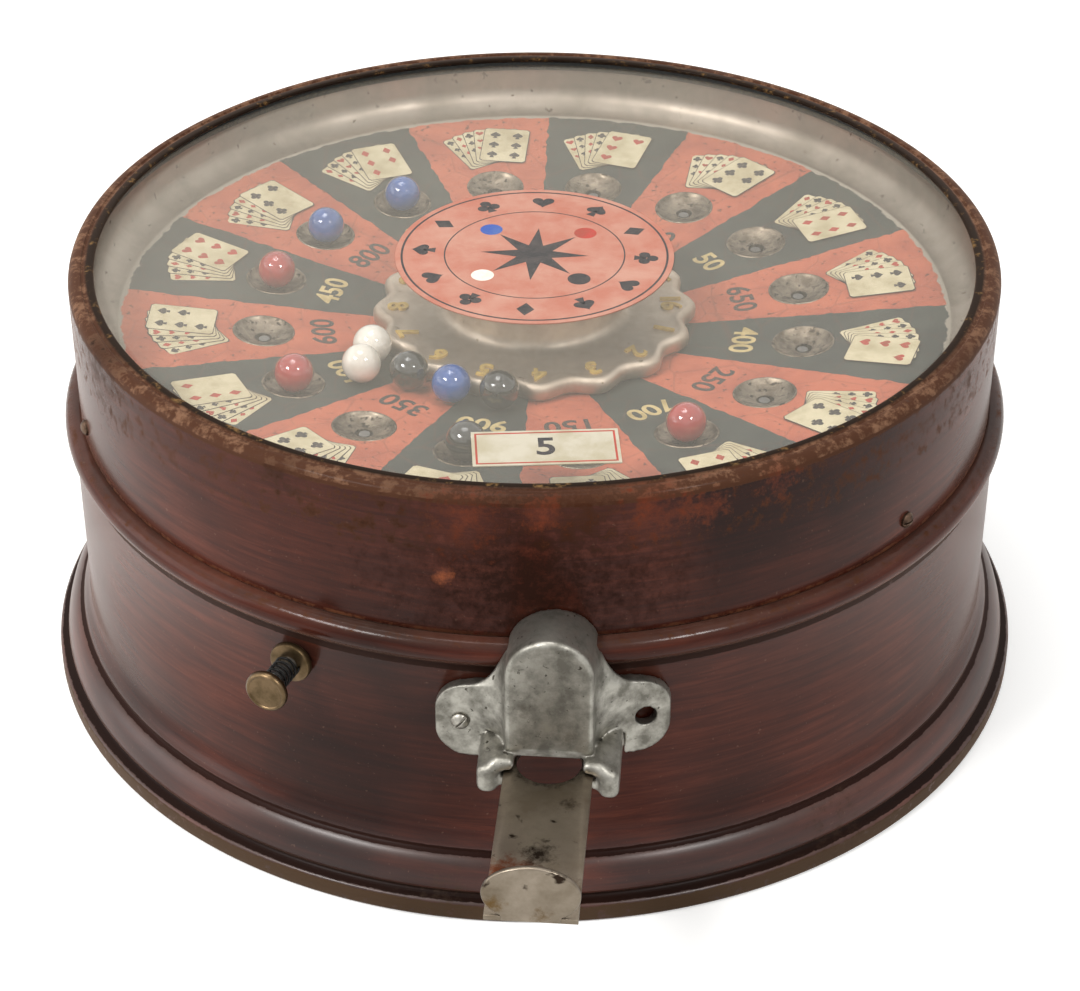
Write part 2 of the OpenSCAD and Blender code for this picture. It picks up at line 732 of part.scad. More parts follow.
module rack_guide() color([0.55, 0.5, 0.4]) {
    rack_low = gear_z - plunger_z - running_fit;
    back_x = -rack_back_w/2 - running_fit;
    on_plunger() translate([back_x - 4, -10, member_top_z - plunger_z]) {
        cube([rack_back_w + 4, 14, rack_low + plunger_z - member_top_z]);
        cube([4, 14, gear_z + rack_h - member_top_z]);
    }
}

// Flat bar from the slide's inner end to the back ramp
module lift_bar() color([0.58, 0.57, 0.54]) {
    translate([lift_bar_x - lift_bar_w/2, -slide_inner_y + seat_gap, slide_z])
        cube([lift_bar_w, slide_inner_y - seat_gap + lift_bar_end_y, slide_t]);
}

// Height of a ramp above the bar, a distance in front of its low end
function ramp_h(d) = ramp_min_h + d*lift_slope;

module lift_ramps() color([0.6, 0.5, 0.35]) {
    for (s = [-1, 1]) translate([lift_bar_x - lift_bar_w/2 + 2, s*leg_y + foot_len/2 + 2, slide_top_z])
        rotate([90, 0, 90]) linear_extrude(lift_bar_w - 4)
            polygon([[0, 0], [0, ramp_h(0)], [-ramp_len, ramp_h(ramp_len)], [-ramp_len, 0]]);
}

// Half-width of the oval thumb tab at a share of its height
function tab_outline(steps) = [for (i = [0:steps - 1]) let (a = 360*i/steps)
    [tab_size[0]/2*cos(a), tab_size[1]/2*(1 + sin(a))]];

module coin_slide() color([0.5, 0.48, 0.42]) {
    neck_w = 0.62*tab_size[0];
    translate([chute_x, 0, 0]) {
        difference() {
            translate([-slide_half_w, -slide_reach, slide_z]) cube([slide_w, slide_reach - slide_inner_y, slide_t]);
            translate([0, -coin_hole_y, slide_z - 1]) cylinder(d = coin_hole_d, h = slide_t + 2);
        }
        translate([0, -slide_reach + slide_t, slide_z]) rotate([90, 0, 0]) linear_extrude(slide_t) {
            polygon(tab_outline(48));
            translate([-neck_w/2, 0]) square([neck_w, tab_size[1]/2]);
        }
    }
}

module lifter_ring() color([0.58, 0.57, 0.54]) {
    difference() {
        translate([0, 0, lifter_z]) difference() {
            cylinder(r = pocket_circle_r + lifter_w/2, h = lifter_t);
            translate([0, 0, -1]) cylinder(r = pocket_circle_r - lifter_w/2, h = lifter_t + 2);
        }
        for (s = [0, 180]) rotate([0, 0, guide_post_a + s]) translate([pocket_circle_r, 0, lifter_z - 1])
            cylinder(r = guide_post_r + bush_wall, h = lifter_t + 2);
    }
}

// Legs under the lifter ring, their feet cut to the slope of the ramps
module lifter_legs() color([0.6, 0.5, 0.35]) {
    top = lifter_z - slide_top_z;
    low = ramp_h(2) + free_gap;
    high = ramp_h(2 + foot_len) + free_gap;
    for (s = [-1, 1]) translate([lift_bar_x - lift_bar_w/2 + 2, s*leg_y + foot_len/2, slide_top_z])
        rotate([90, 0, 90]) linear_extrude(lift_bar_w - 4)
            polygon([[0, low], [0, top], [-foot_len, top], [-foot_len, high]]);
}

module lifter_bushes() color([0.65, 0.52, 0.3]) {
    for (s = [0, 180]) rotate([0, 0, guide_post_a + s]) translate([pocket_circle_r, 0, lifter_z - bush_over])
        difference() {
            cylinder(r = guide_post_r + bush_wall, h = lifter_t + 2*bush_over);
            translate([0, 0, -1]) cylinder(r = guide_post_r + running_fit, h = lifter_t + 2*bush_over + 2);
        }
}

module lifter_pins() color([0.66, 0.65, 0.62]) {
    tip_z = marble_rest_z - marble_r - 0.1;
    base_z = lifter_z + lifter_t;
    for (i = [0:pockets - 1]) rotate([0, 0, pocket_angle(i)]) translate([pocket_circle_r, 0, base_z])
        cylinder(r = pin_r, h = tip_z - base_z);
}

module pocket_marble(i) {
    rotate([0, 0, pocket_angle(i)]) translate([marble_rest_r, 0, marble_rest_z]) sphere(marble_r);
}

module red_marbles() color([0.75, 0.25, 0.25]) { for (i = [2, 6, 8]) pocket_marble(i); }
module blue_marbles() color([0.3, 0.4, 0.72]) { for (i = [9, 10]) pocket_marble(i); }
module black_marble() color([0.15, 0.17, 0.16]) pocket_marble(4);

// Distance from the axis at which a marble rests against the scalloped edge
function touch_r(a) = let (m = marble_r + free_gap) max([for (d = [-12:1:12])
    let (e = rotor_edge_r(a + d), side = e*sin(d)) abs(side) < m ? e*cos(d) + sqrt(m*m - side*side) : 0]);

// A marble that lies on the cone against the spinner's edge, or further out
module loose_marble(a, out) {
    r = touch_r(a) + out;
    z = field_at(r) + marble_r/cos(field_slope) + free_gap;
    rotate([0, 0, a]) translate([r, 0, z]) sphere(marble_r);
}

module white_marbles() color([0.9, 0.87, 0.82]) {
    loose_marble(-147, 0);
    loose_marble(-138, 13.5);
    loose_marble(97, 0);
}
module center_blue_marble() color([0.3, 0.4, 0.72]) loose_marble(-111.8, 0);
module center_black_marbles() color([0.15, 0.17, 0.16]) {
    loose_marble(-127, 0);
    loose_marble(-96.6, 0);
}

module plunger_rod() color([0.62, 0.6, 0.55]) {
    on_plunger() bar_y(rod_r, rack_lead - rod_socket, button_back_y);
}

module plunger_button() color([0.53, 0.45, 0.3]) {
    on_plunger() {
        bar_y(button[0], button_back_y, button_face_y - 0.8);
        translate([0, -button_face_y, 0]) rotate([-90, 0, 0])
            cylinder(r1 = button[0] - 0.8, r2 = button[0], h = 0.8 + eps);
    }
}

module stop_collar() color([0.55, 0.5, 0.4]) {
    collar_out_y = plunger_wall_y - barrel_len - free_gap;
    on_plunger() tube_y(rod_r + 3, rod_r, collar_out_y - 6, collar_out_y);
}

// Spring: one round wire swept along a helix, with a straight lead at each end
coil_rings = 8;
wire_sides = 6;
spring_from = collar_face_y + 0.05;
spring_to = button_back_y - 0.05;
spring_lead = spring_wire;
spring_rise = spring_to - spring_from - 2*spring_lead;
spring_rings = spring_turns*coil_rings;
function coil_point(i) = let (a = 360*i/coil_rings)
    [spring_d/2*cos(a), spring_lead + spring_rise*i/spring_rings, spring_d/2*sin(a)];
spring_path = concat(
    [[spring_d/2, 0, 0]],
    [for (i = [0:spring_rings]) coil_point(i)],
    [coil_point(spring_rings) + [0, spring_lead, 0]]
);
function unit(v) = v/norm(v);
function path_dir(p, i) = i == 0 ? [0, 1, 0]
    : i == len(p) - 1 ? [0, 1, 0] : unit(unit(p[i + 1] - p[i]) + unit(p[i] - p[i - 1]));
function wire_ring(p, i) = let (
        t = path_dir(p, i),
        out = unit([p[i][0], 0, p[i][2]]),
        u = unit(out - (out*t)*t),
        v = cross(t, u))
    [for (k = [0:wire_sides - 1]) let (a = 360*k/wire_sides)
        p[i] + spring_wire/2*(cos(a)*u + sin(a)*v)];
function ring_index(i, k) = i*wire_sides + k % wire_sides;
spring_faces = concat(
    [for (k = [1:wire_sides - 2]) [0, k, k + 1]],
    [for (i = [0:len(spring_path) - 2], k = [0:wire_sides - 1])
        [ring_index(i, k), ring_index(i + 1, k), ring_index(i, k + 1)]],
    [for (i = [0:len(spring_path) - 2], k = [0:wire_sides - 1])
        [ring_index(i, k + 1), ring_index(i + 1, k), ring_index(i + 1, k + 1)]],
    [for (k = [1:wire_sides - 2]) let (e = len(spring_path) - 1)
        [ring_index(e, 0), ring_index(e, k + 1), ring_index(e, k)]]
);
// Least gap between points of the wire that are half a turn or more apart along it
spring_gap = min([for (i = [1:len(spring_path) - 2], j = [i + coil_rings/2:1:len(spring_path) - 2])
    norm(spring_path[i] - spring_path[j]) - spring_wire]);

module plunger_spring() color([0.1, 0.1, 0.1]) {
    on_plunger() translate([0, -spring_from, 0]) mirror([0, 1, 0]) polyhedron(
        points = [for (i = [0:len(spring_path) - 1]) each wire_ring(spring_path, i)],
        faces = spring_faces
    );
}

// Rack teeth point to the pinion, with a gap on the centre line at rest
module drive_rack() color([0.6, 0.6, 0.58]) {
    m = gear_module;
    slant = tan(20);
    half = m*PI/4 - backlash;
    teeth_in_front = floor(rack_lead/(m*PI) - 0.75);
    teeth_behind = floor(rack_tail/(m*PI) - 0.25);
    pitch_x = rod_off - pitch_r;
    on_plunger() difference() {
        translate([0, 0, gear_z - plunger_z]) linear_extrude(rack_h) {
            translate([-rack_back_w/2, -rack_lead]) square([rack_back_w, rack_lead + rack_tail]);
            for (k = [-teeth_in_front:teeth_behind - 1]) translate([pitch_x, (k + 0.5)*m*PI])
                polygon([
                    [-1.25*m - eps, -half - 1.25*m*slant], [0.9*m, -half + 0.9*m*slant],
                    [0.9*m, half - 0.9*m*slant], [-1.25*m - eps, half + 1.25*m*slant]
                ]);
        }
        bar_y(rod_r + eps, rack_lead - rod_socket, rack_lead + 1);
    }
}

// Involute spur gear outline with a tooth on the +X axis
function involute_angle(r) = let (rb = pitch_r*cos(20), c = acos(min(1, rb/r))) tan(c)*180/PI - c;
module gear_outline() {
    m = gear_module;
    tip_r = pitch_r + 0.9*m;
    root_r = pitch_r - 1.25*m;
    flank_low_r = pitch_r*cos(20) + 0.02;
    half_a = (PI*m/4 - backlash)/pitch_r*180/PI + involute_angle(pitch_r);
    steps = 4;
    flank = [for (i = [0:steps]) let (r = flank_low_r + (tip_r - flank_low_r)*i/steps)
        [r, half_a - involute_angle(r)]];
    polygon([for (k = [0:pinion_teeth - 1]) let (c = 360*k/pinion_teeth) each concat(
        [root_r*[cos(c - half_a), sin(c - half_a)]],
        [for (p = flank) p[0]*[cos(c - p[1]), sin(c - p[1])]],
        [for (i = [steps:-1:0]) let (p = flank[i]) p[0]*[cos(c + p[1]), sin(c + p[1])]],
        [root_r*[cos(c + half_a), sin(c + half_a)]])]);
}

// Pinion with the driving hub of a roller freewheel on top
module pinion() color([0.68, 0.56, 0.32]) {
    difference() {
        union() {
            rotate([0, 0, 180 - plunger_dir]) translate([0, 0, gear_z]) linear_extrude(gear_face) gear_outline();
            translate([0, 0, hub_z - eps]) cylinder(r = hub_r, h = hub_h + eps);
        }
        translate([0, 0, gear_z - 1]) cylinder(r = post_r + running_fit, h = gear_face + hub_h + 2);
        for (i = [0:rollers - 1]) rotate([0, 0, 360*i/rollers]) translate([roller_circle_r, 0, hub_z + 1])
            cylinder(r = roller_r + seat_gap, h = hub_h);
    }
}

module clutch_rollers() color([0.7, 0.7, 0.7]) {
    for (i = [0:rollers - 1]) rotate([0, 0, 360*i/rollers]) translate([roller_circle_r, 0, hub_z + 1.1])
        cylinder(r = roller_r, h = hub_h - 1.2);
}

module freewheel_cup() color([0.62, 0.61, 0.58]) {
    difference() {
        translate([0, 0, hub_z + free_gap]) cylinder(r = freewheel_r + cup_wall_t, h = cup_floor_z + 3 - hub_z - free_gap);
        translate([0, 0, hub_z]) cylinder(r = freewheel_r, h = cup_floor_z - hub_z);
        cylinder(r = sleeve_r, h = far);
    }
}

module rotor_sleeve() color([0.65, 0.64, 0.6]) {
    difference() {
        union() {
            translate([0, 0, cup_floor_z]) cylinder(r = sleeve_r, h = sleeve_top_z - cup_floor_z);
            translate([0, 0, rotor_top_z - rotor_web_t - sleeve_flange_t])
                cylinder(r = sleeve_flange_r, h = sleeve_flange_t);
        }
        translate([0, 0, cup_floor_z - 1]) cylinder(r = post_r + running_fit, h = far);
    }
}

// Cast spinner with a scalloped bumper edge, hollow underneath
module rotor() color([0.66, 0.63, 0.57]) {
    points = 12*pockets;
    difference() {
        translate([0, 0, rotor_z]) linear_extrude(rotor_edge_h)
            polygon([for (i = [0:points - 1]) let (a = 360*i/points) rotor_edge_r(a)*[cos(a), sin(a)]]);
        translate([0, 0, rotor_z - 1]) cylinder(r = rotor_hollow_r, h = rotor_edge_h - rotor_web_t + 1);
        cylinder(r = sleeve_r, h = far);
    }
}

module turret_cap() color([0.66, 0.63, 0.57]) {
    fillet_r = 3;
    translate([0, 0, rotor_top_z]) difference() {
        union() {
            cylinder(r = turret_r, h = turret_h);
            cylinder(r1 = turret_r + fillet_r, r2 = turret_r, h = fillet_r);
        }
        translate([0, 0, -1]) cylinder(r = turret_r - turret_wall, h = turret_h - turret_wall + 1);
    }
}

echo(spring_gap = spring_gap);

case_body();
bottom_plate();
bottom_screws();
top_ring();
ring_screws();
glass_top();
glass_gasket();
medallion();
price_card_sheet();
playfield_pan();
playfield_print();
pocket_cups();
cross_member();
center_post();
post_nut();
rotor_nut();
coin_chute();
chute_screw();
slide_support();
lift_bar_guide();
guide_posts();
plunger_bushing();
bushing_nut();
rack_guide();
lift_bar();
lift_ramps();
coin_slide();
lifter_ring();
lifter_legs();
lifter_bushes();
lifter_pins();
red_marbles();
blue_marbles();
black_marble();
plunger_rod();
plunger_button();
plunger_spring();
drive_rack();
stop_collar();
pinion();
clutch_rollers();
rotor();
turret_cap();
rotor_sleeve();
freewheel_cup();
white_marbles();
center_blue_marble();
center_black_marbles();
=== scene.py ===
# %% [markdown]
# # A counter-top trade stimulator
# A coin game from a shop counter: a round steel case with grained paint, a glass lid, a playfield
# with sixteen pockets, a scalloped spinner and a dozen marbles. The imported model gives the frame,
# and every piece made here goes where the frame says. Sizes are in millimetres until a piece is
# finished, because that is how the real parts were drawn.

# %% Load the frame
from math import asin, cos, pi, radians, sin, sqrt, tan
import bmesh
import bpy
import numpy as np
from mathutils import Matrix, Vector


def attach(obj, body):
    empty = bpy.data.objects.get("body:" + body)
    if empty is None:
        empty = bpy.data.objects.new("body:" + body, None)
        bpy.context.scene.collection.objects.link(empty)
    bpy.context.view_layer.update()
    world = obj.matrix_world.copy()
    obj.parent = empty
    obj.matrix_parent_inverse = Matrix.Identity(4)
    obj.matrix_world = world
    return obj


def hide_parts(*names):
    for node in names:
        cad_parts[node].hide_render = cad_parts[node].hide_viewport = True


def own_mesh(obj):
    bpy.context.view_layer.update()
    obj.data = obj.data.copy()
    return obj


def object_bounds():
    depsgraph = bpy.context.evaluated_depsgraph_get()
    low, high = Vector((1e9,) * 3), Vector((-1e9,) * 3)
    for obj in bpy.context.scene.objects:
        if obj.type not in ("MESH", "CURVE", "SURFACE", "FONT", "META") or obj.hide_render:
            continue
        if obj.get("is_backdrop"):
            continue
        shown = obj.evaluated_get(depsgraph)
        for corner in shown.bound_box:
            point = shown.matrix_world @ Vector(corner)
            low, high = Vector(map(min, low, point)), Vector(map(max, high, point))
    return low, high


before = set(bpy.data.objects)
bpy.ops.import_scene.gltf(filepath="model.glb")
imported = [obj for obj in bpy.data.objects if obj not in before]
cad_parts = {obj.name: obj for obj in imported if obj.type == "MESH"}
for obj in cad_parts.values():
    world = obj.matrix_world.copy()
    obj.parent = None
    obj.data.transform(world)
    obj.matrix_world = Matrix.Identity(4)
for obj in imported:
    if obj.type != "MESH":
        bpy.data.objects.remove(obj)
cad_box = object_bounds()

MM = 0.001

# %% [markdown]
# ## Helpers for shapes
# Most of the pieces were turned or spun, so a section swept round the axis gives them. Flat pieces
# were stamped, so a filled outline with a thickness gives them. Castings have soft blends that
# neither way gives: those are described by a distance field, and a skin is laid over it.

# %% A finished piece
def in_scene(name, data):
    """A new object in the scene."""
    obj = bpy.data.objects.new(name, data)
    bpy.context.scene.collection.objects.link(obj)
    return obj


def piece(name, bm, materials, body, stands_for=(), sharp=35):
    """Turns a mesh in millimetres into an object at the origin that rides on a body."""
    bmesh.ops.scale(bm, vec=(MM, MM, MM), verts=bm.verts)
    mesh = bpy.data.meshes.new(name)
    bm.to_mesh(mesh)
    bm.free()
    for material in materials if isinstance(materials, list) else [materials]:
        mesh.materials.append(material)
    mesh.shade_smooth()
    mesh.set_sharp_from_angle(angle=radians(sharp))
    obj = in_scene(name, mesh)
    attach(obj, body)
    if stands_for:
        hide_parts(*stands_for)
    print(f"{name}: {len(mesh.polygons)} faces on {body}")
    return obj


# %% A turned shape
def lathe(profile, steps=256):
    """Sweeps a closed section of (radius, height) points round the Z axis."""
    bm = bmesh.new()
    rings = []
    for r, z in profile:
        count = steps if r > 1e-6 else 1
        rings.append([bm.verts.new((r*cos(2*pi*i/steps), r*sin(2*pi*i/steps), z)) for i in range(count)])
    for low, high in zip(rings, rings[1:] + rings[:1]):
        if len(low) == 1 and len(high) == 1:
            continue
        for i in range(steps):
            j = (i + 1) % steps
            corners = [low[i % len(low)], low[j % len(low)], high[j % len(high)], high[i % len(high)]]
            bm.faces.new(list(dict.fromkeys(corners)))
    bmesh.ops.recalc_face_normals(bm, faces=bm.faces)
    return bm


def arc(centre, radius, start, end, steps):
    """Points of an arc in a section, angles in degrees from the outward direction."""
    return [(centre[0] + radius*cos(radians(start + (end - start)*i/steps)),
             centre[1] + radius*sin(radians(start + (end - start)*i/steps)))
            for i in range(steps + 1)]


# %% A stamped shape
def plate(outlines, thickness, bevel=0.0):
    """Fills closed outlines, with holes, to a plate that stands on the XY plane."""
    curve = bpy.data.curves.new("outline", "CURVE")
    curve.dimensions = "2D"
    curve.fill_mode = "BOTH"
    curve.extrude = thickness/2 - bevel
    curve.bevel_depth = bevel
    curve.bevel_resolution = 2
    curve.offset = -bevel
    for points in outlines:
        spline = curve.splines.new("POLY")
        spline.points.add(len(points) - 1)
        for point, (x, y) in zip(spline.points, points):
            point.co = (x, y, 0, 1)
        spline.use_cyclic_u = True
    return from_curve(curve, thickness/2)


def worked_out(obj):
    """The mesh that an object comes to, in place of the object."""
    bpy.context.view_layer.update()
    mesh = bpy.data.meshes.new_from_object(obj.evaluated_get(bpy.context.evaluated_depsgraph_get()))
    bpy.data.objects.remove(obj)
    bm = bmesh.new()
    bm.from_mesh(mesh)
    bpy.data.meshes.remove(mesh)
    return bm


def from_curve(curve, lift):
    """Makes a curve or text a mesh, lifted to stand on the XY plane."""
    bm = worked_out(in_scene("outline", curve))
    bpy.data.curves.remove(curve)
    bmesh.ops.remove_doubles(bm, verts=bm.verts, dist=1e-5)
    bmesh.ops.translate(bm, vec=(0, 0, lift), verts=bm.verts)
    return bm


def digits(text, height, thickness):
    """A plain number as a flat mesh, centred, its top towards +Y."""
    font = bpy.data.curves.new("digits", "FONT")
    font.body = text
    font.size = height/0.69
    font.extrude = thickness/2
    font.align_x = "CENTER"
    font.align_y = "CENTER"
    font.resolution_u = 4
    font.offset = 0.03*height
    return from_curve(font, thickness/2)


def gather(parts):
    """Joins several (mesh, placing matrix) pairs into one mesh."""
    bm = bmesh.new()
    for part, matrix in parts:
        part.transform(matrix)
        mesh = bpy.data.meshes.new("part")
        part.to_mesh(mesh)
        part.free()
        bm.from_mesh(mesh)
        bpy.data.meshes.remove(mesh)
    return bm


# %% A cast shape
def blend(a, b, width):
    """Joins two distance fields with a fillet of about that width."""
    h = np.clip(0.5 + 0.5*(b - a)/width, 0, 1)
    return b + (a - b)*h - width*h*(1 - h)


def block(x, y, z, half, rounding):
    """Distance to a box with rounded edges about the origin."""
    q = [np.abs(v) - (h - rounding) for v, h in zip((x, y, z), half)]
    outside = np.sqrt(sum(np.maximum(v, 0)**2 for v in q))
    return outside + np.minimum(np.maximum(np.maximum(q[0], q[1]), q[2]), 0) - rounding


def cast(field, low, high, step, smooth=2):
    """Lays a skin of squares over the region where a distance field is below zero."""
    axes = [np.arange(a, b + step, step) for a, b in zip(low, high)]
    grid = np.stack(np.meshgrid(*axes, indexing="ij"), -1)
    value = field(grid[..., 0], grid[..., 1], grid[..., 2])
    inside = value < 0
    shape = np.array(value.shape) - 1

    def corner(data, c):
        return data[c[0]:c[0] + shape[0], c[1]:c[1] + shape[1], c[2]:c[2] + shape[2]]

    corners = [(i, j, k) for i in (0, 1) for j in (0, 1) for k in (0, 1)]
    total, hits = np.zeros((*shape, 3)), np.zeros(shape)
    for a in corners:
        for axis in range(3):
            if a[axis]:
                continue
            b = tuple(1 if n == axis else v for n, v in enumerate(a))
            va, vb = corner(value, a), corner(value, b)
            crossed = corner(inside, a) != corner(inside, b)
            share = np.where(crossed, va/np.where(crossed, va - vb, 1), 0)[..., None]
            point = corner(grid, a)*(1 - share) + corner(grid, b)*share
            total += np.where(crossed[..., None], point, 0)
            hits += crossed
    index = np.full(shape, -1)
    index[hits > 0] = np.arange(int((hits > 0).sum()))
    bm = bmesh.new()
    verts = [bm.verts.new(p) for p in (total[hits > 0]/hits[hits > 0][:, None])]
    for axis in range(3):
        du, dv = np.roll((0, 1, 0), axis), np.roll((0, 0, 1), axis)
        first = inside.take(range(shape[axis]), axis)
        change = first != inside.take(range(1, shape[axis] + 1), axis)
        for c in np.argwhere(change):
            quad = [index[tuple(c - d)] for d in (du + dv, dv, 0*du, du)]
            bm.faces.new([verts[q] for q in (quad if first[tuple(c)] else quad[::-1])])
    for _ in range(smooth):
        bmesh.ops.smooth_vert(bm, verts=bm.verts, factor=0.5, use_axis_x=True, use_axis_y=True, use_axis_z=True)
    return bm


# %% [markdown]
# ## Helpers for finishes
# Every finish is built from Blender's own texture nodes on Object coordinates, so a pattern keeps
# its size in millimetres. One function turns written colours to linear light, and one adds a node.

# %% Colour and nodes
def linear(code):
    """A written sRGB colour such as "#804020" as linear light with full opacity."""
    parts = [int(code[i:i + 2], 16)/255 for i in (1, 3, 5)]
    return (*[v/12.92 if v <= 0.04045 else ((v + 0.055)/1.055)**2.4 for v in parts], 1.0)


def fill(node, sockets):
    """Fills a node's sockets with values or links; another node stands for its first output in use."""
    for name, value in sockets.items():
        if isinstance(value, bpy.types.Node):
            value = next(output for output in value.outputs if output.enabled)
        if isinstance(value, bpy.types.NodeSocket):
            node.id_data.links.new(value, node.inputs[name])
        else:
            node.inputs[name].default_value = value


def add(tree, kind, sockets=None, stops=None, **settings):
    """Adds a node, sets its fields and fills its sockets; a kind without a prefix is a shader node."""
    node = tree.nodes.new(kind if "Node" in kind else "ShaderNode" + kind)
    for field, value in settings.items():
        setattr(node, field, value)
    fill(node, sockets or {})
    if stops:
        elements = node.color_ramp.elements
        while len(elements) < len(stops):
            elements.new(0.5)
        for element, (place, code) in zip(elements, stops):
            element.position, element.color = place, linear(code)
    return node


def start_finish(name, **sockets):
    """A new material: its tree, its shader and the Object coordinates of the piece."""
    material = bpy.data.materials.new(name)
    material.use_nodes = True
    tree = material.node_tree
    shader = tree.nodes["Principled BSDF"]
    fill(shader, {socket.replace("_", " "): value for socket, value in sockets.items()})
    place = add(tree, "TexCoord").outputs["Object"]
    return material, tree, shader, place


def dress(node, material):
    """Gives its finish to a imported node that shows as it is."""
    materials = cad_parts[node].data.materials
    materials.clear()
    materials.append(material)


# The Mix node's colour sockets go by number: 0 is the factor, 6 and 7 the colours
FACTOR, FIRST, SECOND = 0, 6, 7


def overlay(tree, colour, layers):
    """Lays written colours over a colour in turn, each where its mask is 1."""
    for mask, code in layers:
        colour = add(tree, "Mix", {FACTOR: mask, FIRST: colour, SECOND: linear(code)}, data_type="RGBA")
    return colour


def cloud_colour(tree, shader, place, scale, stops, **noise):
    """Colours a shader by a noise of that scale through the stops of a ramp."""
    cloud = add(tree, "TexNoise", {"Vector": place, "Scale": scale, **noise})
    shade = add(tree, "ValToRGB", {"Fac": cloud}, stops=stops)
    fill(shader, {"Base Color": shade})


# %% [markdown]
# ## Grained paint on steel
# The case is pressed steel, painted dark and then grained with a comb to look like mahogany, under
# a satin varnish. Noise that is stretched level, about 40 mm long and 1 mm high, gives the grain
# without a seam. Bands at given heights are worn to brown undercoat or bare steel by a ragged mask,
# and two dark bands in the grooves of the foot are painted shade.

# %% Painted finishes
FOOT_TOP = 30


def worn_band(tree, z, low, high, edge, ragged, amount):
    """A mask that is 1 between two heights (mm), with an edge broken up by a noise."""
    up = add(tree, "MapRange", {"Value": z, "From Min": (low - edge)*MM, "From Max": low*MM})
    down = add(tree, "MapRange", {
        "Value": z, "From Min": high*MM, "From Max": (high + edge)*MM, "To Min": 1.0, "To Max": 0.0})
    band = add(tree, "Math", {0: up, 1: down}, operation="MULTIPLY")
    level = add(tree, "Math", {0: band, 1: amount}, operation="MULTIPLY")
    torn = add(tree, "Math", {0: level, 1: ragged}, operation="SUBTRACT")
    return add(tree, "MapRange", {"Value": torn, "From Max": 0.12})


def torn_patches(tree, place, ragged, patches):
    """Masks with their colours, each round a point (mm), that fade outwards and are broken up by a noise."""
    layers = []
    for centre, radius, amount, code in patches:
        away = add(tree, "VectorMath", {0: place, 1: tuple(v*MM for v in centre)}, operation="DISTANCE")
        near = add(tree, "MapRange", {"Value": away, "From Max": radius*MM, "To Min": amount, "To Max": 0.0})
        torn = add(tree, "Math", {0: near, 1: ragged}, operation="SUBTRACT")
        mask = add(tree, "MapRange", {"Value": torn, "From Max": 0.3})
        layers.append((mask, code))
    return layers


